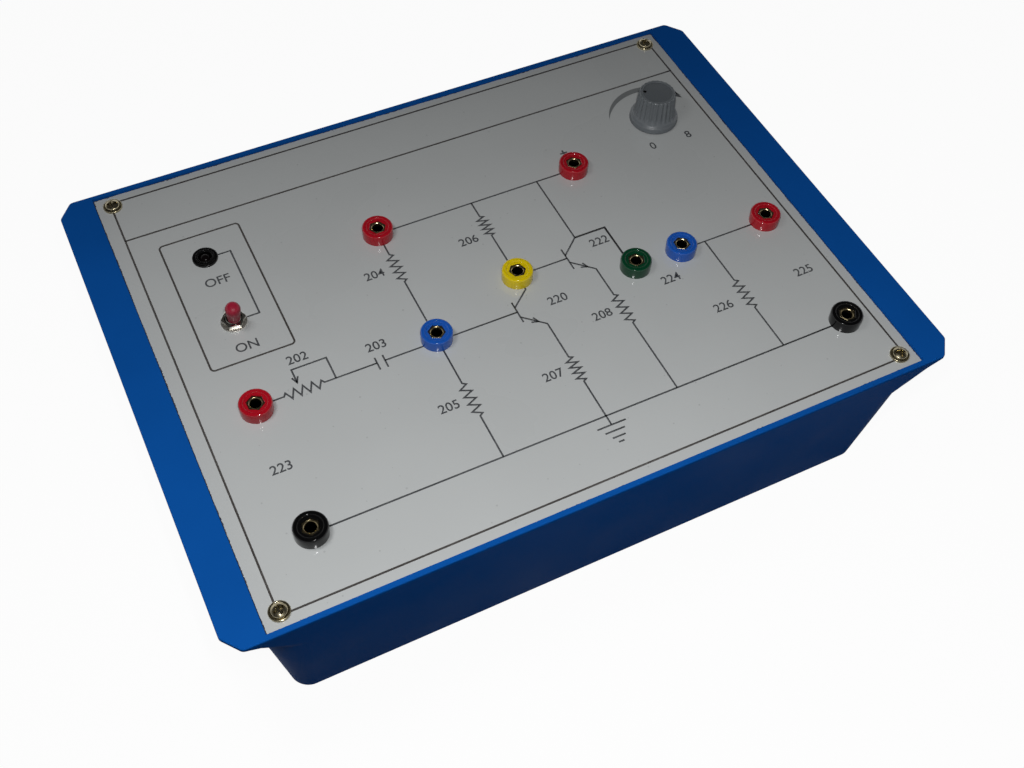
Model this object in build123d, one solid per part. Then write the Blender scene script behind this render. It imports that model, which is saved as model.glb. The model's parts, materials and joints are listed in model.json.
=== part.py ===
from build123d import *
import math
import os

os.makedirs("parts", exist_ok=True)

# A bench trainer for a two transistor amplifier: a moulded tray with grip wings,
# a printed panel let into its top, ten 4 mm sockets, an indicator, a mains toggle
# and a variable resistor with a skirted knob. The power supply and the circuit
# board stand on the floor of the tray.
# Frame: millimetres, origin on the resting surface under the middle of the
# box, +X to the right along the front edge, +Y to the back, +Z up.

# Front panel
panel_length = 254.0
panel_width = 202.0
panel_thickness = 2.0
panel_gap = 0.15
rim_rise = 1.0

# Housing
housing_height = 66.7
rim_wall = 2.05
wing_reach = 13.75
wing_chamfer_x = 5.5
wing_chamfer_y = 7.0
wing_corner_radius = 2.5
lip_height = 1.4
lip_edge_radius = 0.5
cove_drop = 4.4
cove_inset = 5.0
flare_drop = 18.0
flare_inset = 11.2
flare_corner_radius = 15.0
base_inset_x = 18.7
base_inset_y = 7.9
base_corner_radius = 7.5
wall = 2.8
floor_thickness = 3.0
ledge_reach = 3.6
ledge_thickness = 3.5
ledge_slope_height = 4.0
inner_corner_radius = 5.0
ledge_corner_radius = 8.0
corner_join_share = 0.96

# Rubber feet under the floor
foot_height = 2.5
foot_radius = 7.0
foot_sole_radius = 6.2
foot_inset = 20.0
foot_recess_radius = 3.6
foot_recess_depth = 1.6
foot_screw_sink = 0.3

# Screws, with plain shanks and domed heads
screw_gap = 0.05
screw_crown_share = 0.45
screw_point_share = 0.9
panel_screw_inset_x = 6.3
panel_screw_inset_y = 5.8
panel_screw_head_radius = 3.45
panel_screw_head_height = 2.3
panel_screw_radius = 1.75
panel_screw_length = 12.0
panel_hole_gap = 0.3
corner_boss_radius = 4.4
corner_boss_height = 16.0
corner_boss_tip_radius = 0.5
small_screw_head_radius = 2.8
small_screw_head_height = 1.7
small_screw_radius = 1.45
small_screw_length = 8.0
small_boss_radius = 3.6
small_boss_cover = 3.0

# Sockets for 4 mm plugs
socket_radius = 6.07
socket_height = 4.9
socket_edge_radius = 0.9
socket_dish_radius = 4.3
socket_dish_depth = 0.35
socket_spigot_radius = 3.95
socket_spigot_length = 11.0
socket_hole_gap = 0.1
contact_bore_radius = 2.05
contact_bore_depth = 15.0
contact_mouth_chamfer = 0.35
contact_tube_radius = 2.75
contact_tube_tail = 7.0
contact_hex_width = 5.9
contact_hex_height = 2.6
contact_sink = 0.25
contact_gap = 0.03
socket_nut_width = 11.0
socket_nut_height = 2.5
tag_thickness = 0.6
tag_ring_radius = 4.2
tag_length = 9.0
tag_width = 2.6
tag_eye_radius = 0.65

# Socket rows and columns on the panel, from its edges or its middle
left_column_inset = 25.4
right_column_inset = 15.6
bottom_row_inset = 27.8
top_row_y = 39.0
input_row_y = -19.5
middle_row_y = -17.2
divider_column_x = -31.6
collector_column_x = 8.3
collector_row_y = -3.0
supply_column_x = 54.7
emitter_column_x = 52.2
output_column_x = 72.6

# Indicator in its holder
mains_column_inset = 30.8
indicator_y = 55.0
holder_radius = 4.9
holder_height = 0.9
holder_edge = 0.45
holder_ring_radius = 3.5
holder_ring_height = 0.4
holder_ring_edge = 0.25
holder_barrel_radius = 3.9
holder_barrel_length = 9.0
holder_hole_gap = 0.1
lamp_radius = 2.45
lamp_gap = 0.05
lamp_flange_radius = 2.9
lamp_flange_height = 1.0
lamp_lead_length = 12.0
lamp_lead_spacing = 2.54
lead_radius = 0.3
lead_count = 3
clip_thickness = 1.5
clip_wall = 1.2

# Toggle switch
switch_y = 21.0
switch_pivot_depth = 1.0
switch_throw = 34.0
bushing_radius = 3.0
bushing_rise = 2.7
bushing_length = 9.0
bushing_hole_gap = 0.1
pivot_ball_radius = 2.0
pivot_gap = 0.06
lever_radius = 1.2
lever_length = 13.4
lever_foot_radius = 0.8
lever_foot_length = 6.6
lever_mouth_gap = 0.14
sleeve_root_radius = 2.25
sleeve_tip_radius = 2.85
sleeve_root = 5.0
sleeve_length = 16.0
switch_nut_width = 8.0
switch_nut_height = 2.0
switch_nut_crown_slope = 1.9
switch_nut_crown_inset = 0.15
switch_washer_radius = 5.0
switch_washer_thickness = 0.5
switch_body_length = 13.2
switch_body_width = 7.9
switch_body_height = 9.6
switch_body_edge = 0.5
switch_cavity_gap = 0.5
switch_pin_width = 1.8
switch_pin_thickness = 0.7
switch_pin_length = 4.5
switch_pin_spacing = 4.7
switch_pin_count = 3
switch_eye_radius = 0.5
switch_eye_drop = 2.7

# Variable resistor
control_inset_x = 26.8
control_y = 52.1
control_case_radius = 12.0
control_case_height = 9.0
control_case_edge = 0.8
control_bushing_radius = 3.5
control_bushing_rise = 5.5
control_bushing_root = 1.5
control_hole_gap = 0.1
control_nut_width = 10.0
control_nut_height = 2.2
control_washer_radius = 6.2
control_washer_thickness = 0.6
shaft_radius = 3.0
shaft_gap = 0.05
shaft_flat = 1.5
shaft_below = 5.0
shaft_above = 12.6
control_lug_plate_width = 15.0
control_lug_plate_length = 7.0
control_lug_plate_thickness = 1.4
control_lug_plate_tuck = 2.0
control_lug_spacing = 5.0
control_lug_width = 1.9
control_lug_thickness = 0.6
control_lug_length = 6.0
control_lug_tuck = 1.0
control_lug_count = 3

# Knob
knob_lift = 0.6
knob_height = 14.1
knob_skirt_radius = 10.3
knob_skirt_height = 2.3
knob_grip_root_radius = 8.5
knob_grip_top_radius = 7.65
knob_flare_height = 2.4
knob_flare_slope = 0.35
knob_edge = 0.6
knob_cap_radius = 6.3
knob_cap_sink = 0.3
knob_flute_count = 30
knob_flute_radius = 0.42
knob_flute_lift = 0.08
knob_flute_start = 0.6
knob_hollow_radius = 7.2
knob_bushing_gap = 0.5
knob_dimple_radius = 0.55
knob_dimple_depth = 0.5
knob_dimple_place = 5.3
knob_pointer_angle = 150.0

# Circuit board on posts
board_length = 96.0
board_width = 58.0
board_thickness = 1.6
board_x = 44.0
board_y = -20.0
board_hole_inset = 4.0
board_post_height = 7.0

# Parts on the board
reservoir_radius = 6.3
reservoir_height = 21.0
reservoir_x = -15.4
reservoir_y = -11.6
coupler_radius = 2.5
coupler_height = 11.0
coupler_x = 34.6
coupler_y = 11.6
can_edge = 0.6
diode_radius = 1.35
diode_length = 5.2
diode_pitch = 6.0
diode_count = 4
diode_x = -34.6
resistor_radius = 1.2
resistor_length = 6.4
resistor_pitch = 7.0
resistor_count = 6
axial_lead_span = 10.2
axial_lift = 0.4
axial_edge = 0.35
transistor_radius = 2.4
transistor_height = 4.8
transistor_flat = 1.4
transistor_lift = 3.0
transistor_pitch = 22.0
transistor_count = 2
transistor_x = 19.2
transistor_lead_spacing = 1.27
regulator_width = 10.2
regulator_depth = 4.5
regulator_height = 9.2
regulator_tab_thickness = 1.3
regulator_tab_height = 6.4
regulator_hole_radius = 1.8
regulator_lift = 4.0
regulator_lead_width = 0.8
regulator_lead_spacing = 2.54
regulator_x = -15.4
regulator_y = 18.6

# Mains transformer on its clamp
core_length = 41.0
core_height = 34.0
core_stack = 18.0
core_limb = 6.8
core_window_height = 20.5
coil_reach = 8.5
coil_gap = 0.2
coil_edge = 1.5
clamp_thickness = 1.2
clamp_foot_length = 11.0
clamp_hole_inset = 5.0
transformer_x = -62.0
transformer_y = 46.0
transformer_post_height = 4.0

# Cord inlet in the back wall
inlet_inset = 24.2
inlet_height = 20.0
inlet_bore_radius = 3.5
inlet_waist_radius = 5.0
inlet_flange_radius = 7.0
inlet_flange_thickness = 1.8
inlet_flange_edge = 0.7
inlet_gap = 0.05

# How far a cutting body runs past the face that it opens
over = 1.0

# Levels
base_z = foot_height
floor_z = base_z + floor_thickness
rim_z = base_z + housing_height
panel_z = rim_z - rim_rise
seat_z = panel_z - panel_thickness

# Half sizes of the housing at its levels
rim_half_x = panel_length / 2 + wing_reach + panel_gap
rim_half_y = panel_width / 2 + rim_wall + panel_gap
base_half_x = rim_half_x - base_inset_x
base_half_y = rim_half_y - base_inset_y
inlet_x = inlet_inset - base_half_x
draft_y = math.degrees(math.atan2(base_inset_y, housing_height - lip_height))
inlet_depth = wall * math.cos(math.radians(draft_y))


def wall_half_y(z):
    """Half width of the housing's front and back walls at height z."""
    return base_half_y + (z - base_z) * math.tan(math.radians(draft_y))


def wall_half_x(z):
    """Half length of the housing's end walls at height z, up to the flare."""
    flare_half_x = rim_half_x - flare_inset
    slope = (flare_half_x - base_half_x) / (housing_height - flare_drop)
    return base_half_x + (z - base_z) * slope


def on_panel(x, y):
    """A place on the panel's face."""
    return Pos(x, y, panel_z)


def rod(radius, low, high):
    """A round bar about Z between two heights."""
    return Pos(0, 0, low) * Cylinder(radius, high - low, align=(Align.CENTER, Align.CENTER, Align.MIN))


def hex_bar(width, low, high):
    """A hexagonal bar about Z, with corners along X and the given width across its flats."""
    outline = RegularPolygon(width / 2, 6, major_radius=False, rotation=0)
    return extrude(Pos(0, 0, low) * outline, amount=high - low)


def block(length, width, low, high):
    """A box centred on Z between two heights."""
    return Pos(0, 0, low) * Box(length, width, high - low, align=(Align.CENTER, Align.CENTER, Align.MIN))


def corner_outline(half_x, half_y, chamfer_x, chamfer_y, radius, z):
    """A rectangle with cut corners whose ends are rounded, lying at height z."""
    corners = [
        (half_x, half_y - chamfer_y),
        (half_x - chamfer_x, half_y),
        (-half_x + chamfer_x, half_y),
        (-half_x, half_y - chamfer_y),
        (-half_x, -half_y + chamfer_y),
        (-half_x + chamfer_x, -half_y),
        (half_x - chamfer_x, -half_y),
        (half_x, -half_y + chamfer_y),
    ]
    face = make_face(Polyline(*corners, close=True).edges())
    return Pos(0, 0, z) * fillet(face.vertices(), radius)


def round_outline(half_x, half_y, radius, z):
    """A rectangle with round corners, made up like corner_outline so that the two can be joined."""
    cut = radius * (2 - math.sqrt(2))
    return corner_outline(half_x, half_y, cut, cut, radius * corner_join_share, z)


def screw(head_radius, head_height, shank_radius, length):
    """A domed screw with the underside of its head at height 0."""
    crown = head_height * screw_crown_share
    head = rod(head_radius, 0, head_height)
    head = fillet(head.edges().group_by(Axis.Z)[-1], crown)
    point = shank_radius * screw_point_share
    shank = rod(shank_radius, -length, 0)
    shank = chamfer(shank.edges().group_by(Axis.Z)[0], point)
    return head + shank


def small_screw():
    """The screw that holds the board, the transformer and the feet."""
    return screw(small_screw_head_radius, small_screw_head_height, small_screw_radius, small_screw_length)


def small_pilot(top):
    """The hole for a small screw below height top."""
    return rod(small_screw_radius + screw_gap, top - small_screw_length - screw_gap, top + over)


def corners_of(half_x, half_y):
    """The four places at plus and minus the given half sizes."""
    return [(sx * half_x, sy * half_y) for sx in (-1, 1) for sy in (-1, 1)]


# Places that several pieces share
panel_screw_places = corners_of(panel_length / 2 - panel_screw_inset_x, panel_width / 2 - panel_screw_inset_y)
foot_places = corners_of(base_half_x - foot_inset, base_half_y - foot_inset)
board_z = floor_z + board_post_height
board_hole_places = [
    (board_x + x, board_y + y)
    for x, y in corners_of(board_length / 2 - board_hole_inset, board_width / 2 - board_hole_inset)
]
clamp_z = floor_z + transformer_post_height
clamp_half = core_length / 2 + clamp_thickness + clamp_foot_length
clamp_hole_places = [(transformer_x + s * (clamp_half - clamp_hole_inset), transformer_y) for s in (-1, 1)]
foot_seat = base_z - foot_height + foot_recess_depth
foot_boss_top = foot_seat + small_screw_length + small_boss_cover

left_column_x = -panel_length / 2 + left_column_inset
right_column_x = panel_length / 2 - right_column_inset
bottom_row_y = -panel_width / 2 + bottom_row_inset
mains_column_x = -panel_length / 2 + mains_column_inset
control_x = panel_length / 2 - control_inset_x

socket_places = {
    "01_red": (divider_column_x, top_row_y),
    "02_red": (supply_column_x, top_row_y),
    "03_blue": (divider_column_x, middle_row_y),
    "04_yellow": (collector_column_x, collector_row_y),
    "05_green": (emitter_column_x, middle_row_y),
    "06_blue": (output_column_x, middle_row_y),
    "07_red": (right_column_x, middle_row_y),
    "08_black": (right_column_x, bottom_row_y),
    "09_black": (left_column_x, bottom_row_y),
    "10_red": (left_column_x, input_row_y),
}


def inlet_frame():
    """The place on the back wall's outer face, with local +Z along the wall's outward normal."""
    height = base_z + inlet_height
    return Pos(inlet_x, wall_half_y(height), height) * Rot(-90 - draft_y, 0, 0)


def wing_outline(half_x, half_y, z):
    """The outline of the rim with its cut wing corners, at height z."""
    return corner_outline(half_x, half_y, wing_chamfer_x, wing_chamfer_y, wing_corner_radius, z)


def tapered(*outlines):
    """One solid through outlines at rising heights, with straight sides between them."""
    body = Part()
    for low, high in zip(outlines, outlines[1:]):
        body += loft([low, high], ruled=True)
    return body


def housing_outside():
    """The tray's outer form: drafted walls, a flare under each wing and a thin lip round the rim."""
    lip_z = rim_z - lip_height
    cove_z = rim_z - cove_drop
    flare_z = rim_z - flare_drop
    rim = wing_outline(rim_half_x, rim_half_y, rim_z)
    lip = wing_outline(rim_half_x, rim_half_y, lip_z)
    cove = wing_outline(rim_half_x - cove_inset, wall_half_y(cove_z), cove_z)
    flare = round_outline(rim_half_x - flare_inset, wall_half_y(flare_z), flare_corner_radius, flare_z)
    base = round_outline(base_half_x, base_half_y, base_corner_radius, base_z)
    plate = tapered(lip, rim)
    plate = fillet(plate.edges().group_by(Axis.Z)[-1], lip_edge_radius)
    return tapered(base, flare, cove, lip) + plate


def housing_cavity():
    """The space inside the tray, narrower at the top where the ledge carries the panel."""
    ledge_low = seat_z - ledge_thickness
    slope_low = ledge_low - ledge_slope_height
    ledge_half_x = panel_length / 2 - ledge_reach
    ledge_half_y = panel_width / 2 - ledge_reach
    floor_half_x = wall_half_x(floor_z) - wall
    floor_half_y = wall_half_y(floor_z) - wall
    slope_half_x = wall_half_x(slope_low) - wall
    slope_half_y = wall_half_y(slope_low) - wall
    bottom = round_outline(floor_half_x, floor_half_y, inner_corner_radius, floor_z)
    upper = round_outline(slope_half_x, slope_half_y, flare_corner_radius - wall, slope_low)
    ledge = round_outline(ledge_half_x, ledge_half_y, ledge_corner_radius, ledge_low)
    seat = round_outline(ledge_half_x, ledge_half_y, ledge_corner_radius, seat_z)
    return tapered(bottom, upper, ledge, seat)


def housing_bosses():
    """Corner bosses for the panel screws and floor posts for the board, transformer and feet."""
    bosses = Part()
    for x, y in panel_screw_places:
        low = seat_z - corner_boss_height
        cone = Pos(0, 0, low - corner_boss_radius / 2) * Cone(
            corner_boss_tip_radius, corner_boss_radius, corner_boss_radius)
        bosses += Pos(x, y, 0) * (rod(corner_boss_radius, low, seat_z) + cone)
    for x, y in board_hole_places:
        bosses += Pos(x, y, 0) * rod(small_boss_radius, floor_z, board_z)
    for x, y in clamp_hole_places:
        bosses += Pos(x, y, 0) * rod(small_boss_radius, floor_z, clamp_z)
    for x, y in foot_places:
        bosses += Pos(x, y, 0) * rod(small_boss_radius, floor_z, foot_boss_top)
    return bosses


def housing():
    """The moulded tray."""
    outside = housing_outside()
    body = outside - housing_cavity()
    body += housing_bosses() & outside
    body -= block(panel_length + 2 * panel_gap, panel_width + 2 * panel_gap, seat_z, rim_z + over)
    for x, y in panel_screw_places:
        bottom = panel_z - panel_screw_length - screw_gap
        body -= Pos(x, y, 0) * rod(panel_screw_radius + screw_gap, bottom, panel_z)
    for x, y in board_hole_places:
        body -= Pos(x, y, 0) * small_pilot(board_z + board_thickness)
    for x, y in clamp_hole_places:
        body -= Pos(x, y, 0) * small_pilot(clamp_z + clamp_thickness)
    for x, y in foot_places:
        body -= Pos(x, y, foot_seat) * rod(small_screw_radius + screw_gap, 0, small_screw_length + screw_gap)
    body -= inlet_frame() * rod(inlet_waist_radius + inlet_gap, -inlet_depth - over, over)
    return body


def front_panel():
    """The laminate sheet with its holes."""
    sheet = block(panel_length, panel_width, seat_z, panel_z)
    for x, y in panel_screw_places:
        sheet -= Pos(x, y, 0) * rod(panel_screw_radius + panel_hole_gap, seat_z - over, panel_z + over)
    for x, y in socket_places.values():
        sheet -= Pos(x, y, 0) * rod(socket_spigot_radius + socket_hole_gap, seat_z - over, panel_z + over)
    holes = [
        (mains_column_x, indicator_y, holder_barrel_radius + holder_hole_gap),
        (mains_column_x, switch_y, bushing_radius + bushing_hole_gap),
        (control_x, control_y, control_bushing_radius + control_hole_gap),
    ]
    for x, y, radius in holes:
        sheet -= Pos(x, y, 0) * rod(radius, seat_z - over, panel_z + over)
    return sheet


def panel_screws():
    """Four screws through the panel's corners."""
    body = screw(panel_screw_head_radius, panel_screw_head_height, panel_screw_radius, panel_screw_length)
    return Compound(children=[on_panel(x, y) * body for x, y in panel_screw_places])


def socket_head():
    """A coloured insulator: a round cap on the panel and a spigot that passes through it."""
    cap = rod(socket_radius, 0, socket_height)
    cap = fillet(cap.edges().group_by(Axis.Z)[-1], socket_edge_radius)
    dish = Pos(0, 0, socket_height) * Cylinder(socket_dish_radius, 2 * socket_dish_depth)
    dish = chamfer(dish.edges().group_by(Axis.Z)[0], socket_dish_depth)
    spigot = rod(socket_spigot_radius, -socket_spigot_length, 0)
    well_floor = socket_height - socket_dish_depth - contact_hex_height
    well = hex_bar(contact_hex_width + 2 * contact_gap, well_floor, socket_height + over)
    bore = rod(contact_tube_radius + contact_gap, -socket_spigot_length - over, socket_height)
    return cap + spigot - dish - well - bore


def socket_contact():
    """A metal tube with a hexagonal top and a blind bore for the plug."""
    top = socket_height - socket_dish_depth - contact_sink
    hex_low = socket_height - socket_dish_depth - contact_hex_height
    bottom = -socket_spigot_length - contact_tube_tail
    body = hex_bar(contact_hex_width, hex_low, top) + rod(contact_tube_radius, bottom, hex_low)
    body -= rod(contact_bore_radius, top - contact_bore_depth, top)
    mouth = Pos(0, 0, top - contact_mouth_chamfer / 2) * Cone(
        contact_bore_radius, contact_bore_radius + contact_mouth_chamfer, contact_mouth_chamfer)
    return body - mouth


def socket_nut():
    """A hexagonal nut on the spigot, tight under the panel."""
    low = -panel_thickness - socket_nut_height
    nut = hex_bar(socket_nut_width, low, -panel_thickness)
    return nut - rod(socket_spigot_radius + contact_gap, low - over, 0)


def solder_tag():
    """A ring with a tongue, held on the tail of the contact under the spigot."""
    top = -socket_spigot_length
    ring = rod(tag_ring_radius, top - tag_thickness, top)
    tongue = Pos(0, -tag_length / 2, 0) * block(tag_width, tag_length, top - tag_thickness, top)
    hole = rod(contact_tube_radius + contact_gap, top - tag_thickness - over, top + over)
    eye = Pos(0, -tag_length + tag_width / 2, 0) * rod(tag_eye_radius, top - tag_thickness - over, top + over)
    return ring + tongue - hole - eye


def at_sockets(body):
    """Copies of a body at every socket, as separate solids in one group."""
    return Compound(children=[on_panel(x, y) * body for x, y in socket_places.values()])


def indicator_holder():
    """The black holder of the indicator: a bevelled flange with an inner ring, and a barrel."""
    flange = rod(holder_radius, 0, holder_height)
    flange = chamfer(flange.edges().group_by(Axis.Z)[-1], holder_edge)
    top = holder_height + holder_ring_height
    ring = rod(holder_ring_radius, holder_height, top)
    ring = chamfer(ring.edges().group_by(Axis.Z)[-1], holder_ring_edge)
    barrel = rod(holder_barrel_radius, -holder_barrel_length, 0)
    bore = rod(lamp_radius + lamp_gap, -holder_barrel_length - over, top + over)
    pocket_top = -holder_barrel_length + lamp_flange_height
    pocket = rod(lamp_flange_radius + lamp_gap, -holder_barrel_length - over, pocket_top)
    return on_panel(mains_column_x, indicator_y) * (flange + ring + barrel - bore - pocket)


def indicator_lamp():
    """A 5 mm lamp with a domed end, a flange at its root and two leads."""
    root = -holder_barrel_length
    dome_centre = holder_height + holder_ring_height - lamp_radius + lamp_gap
    body = rod(lamp_radius, root, dome_centre) + Pos(0, 0, dome_centre) * Sphere(lamp_radius)
    body += rod(lamp_flange_radius, root, root + lamp_flange_height)
    for side in (-1, 1):
        lead = rod(lead_radius, root - lamp_lead_length, root)
        body += Pos(side * lamp_lead_spacing / 2, 0, 0) * lead
    return on_panel(mains_column_x, indicator_y) * body


def indicator_clip():
    """The ring that holds the barrel under the panel."""
    top = -panel_thickness
    ring = rod(holder_barrel_radius + clip_wall, top - clip_thickness, top)
    ring -= rod(holder_barrel_radius + lamp_gap, top - clip_thickness - over, top + over)
    return on_panel(mains_column_x, indicator_y) * ring


def at_switch(body):
    """A body moved to the switch's place on the panel."""
    return on_panel(mains_column_x, switch_y) * body


def swept_radius(radius, distance):
    """Reach of a leaning bar of the given radius at a distance above or below its pivot."""
    angle = math.radians(switch_throw / 2)
    return radius / math.cos(angle) + distance * math.tan(angle) + lever_mouth_gap


def switch_bushing():
    """The threaded bushing, with a round seat for the lever's ball and a flared mouth."""
    low = bushing_rise - bushing_length
    body = rod(bushing_radius, low, bushing_rise)
    pivot = -switch_pivot_depth
    seat_radius = pivot_ball_radius + pivot_gap
    body -= Pos(0, 0, pivot) * Sphere(seat_radius)
    rise = bushing_rise - pivot
    mouth = Cone(swept_radius(lever_radius, 0), swept_radius(lever_radius, rise), rise)
    body -= Pos(0, 0, pivot + rise / 2) * mouth
    drop = pivot - low
    throat = Cone(swept_radius(lever_foot_radius, drop), swept_radius(lever_foot_radius, 0), drop)
    body -= Pos(0, 0, low + drop / 2) * throat
    return at_switch(body)


def switch_nut():
    """The hexagonal nut on the bushing, above its washer."""
    low = switch_washer_thickness
    nut = hex_bar(switch_nut_width, low, low + switch_nut_height)
    crown = Pos(0, 0, low) * Cone(
        switch_nut_width / 2 + switch_nut_height * switch_nut_crown_slope,
        switch_nut_width / 2 - switch_nut_crown_inset, switch_nut_height,
        align=(Align.CENTER, Align.CENTER, Align.MIN))
    return at_switch((nut & crown) - rod(bushing_radius, low - over, low + switch_nut_height + over))


def switch_back_nut():
    """The second nut, which sets the switch's depth under the panel."""
    low = -panel_thickness - switch_nut_height
    nut = hex_bar(switch_nut_width, low, -panel_thickness)
    return at_switch(nut - rod(bushing_radius, low - over, 0))


def switch_washer():
    """The washer between the nut and the panel."""
    ring = rod(switch_washer_radius, 0, switch_washer_thickness)
    return at_switch(ring - rod(bushing_radius + bushing_hole_gap, -over, switch_washer_thickness + over))


def switch_body():
    """The switch's case, hollow where the lever's foot swings."""
    top = bushing_rise - bushing_length
    case = block(switch_body_length, switch_body_width, top - switch_body_height, top)
    case = chamfer(case.edges().filter_by(Axis.Z), switch_body_edge)
    reach = swept_radius(lever_foot_radius, lever_foot_length)
    hollow_low = -switch_pivot_depth - lever_foot_length - switch_cavity_gap
    case -= block(2 * lever_foot_radius + 2 * switch_cavity_gap, 2 * reach, hollow_low, top + over)
    return at_switch(case)


def switch_terminals():
    """Three flat pins in a row under the case, each with a hole for a wire."""
    top = bushing_rise - bushing_length - switch_body_height
    pin = block(switch_pin_thickness, switch_pin_width, top - switch_pin_length, top)
    eye = Pos(0, 0, top - switch_eye_drop) * Rot(0, 90, 0) * Cylinder(switch_eye_radius, 2 * switch_pin_width)
    row = GridLocations(switch_pin_spacing, 0, switch_pin_count, 1)
    return Compound(children=[at_switch(place * (pin - eye)) for place in row])


def lean(body):
    """A body turned about the switch's pivot from upright to its forward stop."""
    pivot = Pos(0, 0, -switch_pivot_depth)
    return at_switch(pivot * Rot(switch_throw / 2, 0, 0) * body)


def switch_lever():
    """The metal lever: a ball at its pivot, a foot inside the case and a rod inside the sleeve."""
    body = Sphere(pivot_ball_radius) + rod(lever_radius, 0, lever_length)
    body += rod(lever_foot_radius, -lever_foot_length, 0)
    return lean(body)


def switch_sleeve():
    """The soft sleeve on the lever, wider towards its round tip."""
    tip_centre = sleeve_length - sleeve_tip_radius
    body = Pos(0, 0, (sleeve_root + tip_centre) / 2) * Cone(
        sleeve_root_radius, sleeve_tip_radius, tip_centre - sleeve_root)
    body += Pos(0, 0, tip_centre) * Sphere(sleeve_tip_radius)
    return lean(body - rod(lever_radius, sleeve_root - over, lever_length))


def at_control(body):
    """A body moved to the variable resistor's place on the panel."""
    return on_panel(control_x, control_y) * body


def control_case():
    """The round metal case under the panel."""
    top = -panel_thickness
    case = rod(control_case_radius, top - control_case_height, top)
    case = fillet(case.edges().group_by(Axis.Z)[0], control_case_edge)
    case -= rod(control_bushing_radius, top - control_bushing_root, top + over)
    return at_control(case - rod(shaft_radius + shaft_gap, top - shaft_below - shaft_gap, top))


def control_bushing():
    """The threaded bushing that stands through the panel."""
    low = -panel_thickness - control_bushing_root
    body = rod(control_bushing_radius, low, control_bushing_rise)
    return at_control(body - rod(shaft_radius + shaft_gap, low - over, control_bushing_rise + over))


def control_washer():
    """The washer under the control's nut."""
    ring = rod(control_washer_radius, 0, control_washer_thickness)
    return at_control(ring - rod(control_bushing_radius, -over, control_washer_thickness + over))


def control_nut():
    """The nut that clamps the control to the panel."""
    low = control_washer_thickness
    nut = hex_bar(control_nut_width, low, low + control_nut_height)
    return at_control(nut - rod(control_bushing_radius, low - over, low + control_nut_height + over))


def control_lugs():
    """The terminal plate on the front of the case, with three lugs that point forward."""
    low = -panel_thickness - control_case_height
    plate_y = -control_case_radius - control_lug_plate_length / 2 + control_lug_plate_tuck
    plate = Pos(0, plate_y, 0) * block(
        control_lug_plate_width, control_lug_plate_length, low, low + control_lug_plate_thickness)
    plate -= rod(control_case_radius, low - over, low + control_lug_plate_thickness + over)
    lug_y = plate_y - control_lug_plate_length / 2 + control_lug_tuck - control_lug_length / 2
    lug = block(control_lug_width, control_lug_length,
                low + control_lug_plate_thickness, low + control_lug_plate_thickness + control_lug_thickness)
    row = GridLocations(control_lug_spacing, 0, control_lug_count, 1)
    body = plate
    for place in row:
        body += Pos(0, lug_y, 0) * place * lug
    return at_control(body)


def control_shaft():
    """The control's shaft, with a flat at its upper end for the knob."""
    low = -panel_thickness - shaft_below
    body = rod(shaft_radius, low, shaft_above)
    flat_low = control_bushing_rise + knob_bushing_gap
    flat = block(4 * shaft_radius, 2 * shaft_flat, flat_low, shaft_above + over)
    body -= Pos(0, -shaft_radius, 0) * flat
    return at_control(Rot(0, 0, knob_pointer_angle - 90) * body)


def knob_profile():
    """Half section of the knob's solid form in the XZ plane, from its skirt to its cap."""
    skirt_top = knob_lift + knob_skirt_height
    grip_low = skirt_top + knob_flare_height
    top = knob_lift + knob_height
    rim = Line((0, knob_lift), (knob_skirt_radius, knob_lift))
    skirt = Line(rim @ 1, (knob_skirt_radius, skirt_top - knob_edge))
    bevel = Line(skirt @ 1, (knob_skirt_radius - knob_edge, skirt_top))
    flare = TangentArc((knob_skirt_radius - knob_edge, skirt_top), (knob_grip_root_radius, grip_low),
                       tangent=(-1, knob_flare_slope))
    grip = Line((knob_grip_root_radius, grip_low), (knob_grip_top_radius, top - knob_edge))
    shoulder = Line(grip @ 1, (knob_grip_top_radius - knob_edge, top))
    crown = Line(shoulder @ 1, (0, top))
    axis = Line((0, top), (0, knob_lift))
    return Plane.XZ * make_face([rim, skirt, bevel, flare, grip, shoulder, crown, axis])


def control_knob():
    """The skirted knob: fluted grip, sunk cap, hollow underside and a pointer dimple."""
    body = revolve(knob_profile(), axis=Axis.Z, revolution_arc=360)
    top = knob_lift + knob_height
    grip_low = knob_lift + knob_skirt_height + knob_flare_height
    taper = math.degrees(math.atan2(knob_grip_root_radius - knob_grip_top_radius, top - grip_low))
    flute = Rot(0, -taper, 0) * rod(knob_flute_radius, -knob_flute_start, top)
    flute = Pos(knob_grip_root_radius + knob_flute_lift, 0, grip_low) * flute
    flutes = [place * flute for place in PolarLocations(0, knob_flute_count)]
    body -= flutes
    body -= rod(knob_cap_radius, top - knob_cap_sink, top + over)
    body -= rod(knob_hollow_radius, 0, control_bushing_rise + knob_bushing_gap)
    socket = rod(shaft_radius, 0, shaft_above)
    flat_low = control_bushing_rise + knob_bushing_gap
    key = Pos(0, -shaft_radius, 0) * block(4 * shaft_radius, 2 * shaft_flat, flat_low, shaft_above)
    body -= Rot(0, 0, -90) * (socket - key)
    dimple = rod(knob_dimple_radius, top - knob_cap_sink - knob_dimple_depth, top + over)
    body -= Pos(knob_dimple_place, 0, 0) * dimple
    return at_control(Rot(0, 0, knob_pointer_angle) * body)


def circuit_board():
    """The board on its four posts."""
    board = Pos(board_x, board_y, 0) * block(board_length, board_width, board_z, board_z + board_thickness)
    for x, y in board_hole_places:
        hole = rod(small_screw_radius + panel_hole_gap, board_z - over, board_z + board_thickness + over)
        board -= Pos(x, y, 0) * hole
    return board


def screws_at(places, seat):
    """Small screws with their heads on a seat at a given height."""
    return Compound(children=[Pos(x, y, seat) * small_screw() for x, y in places])


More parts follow.
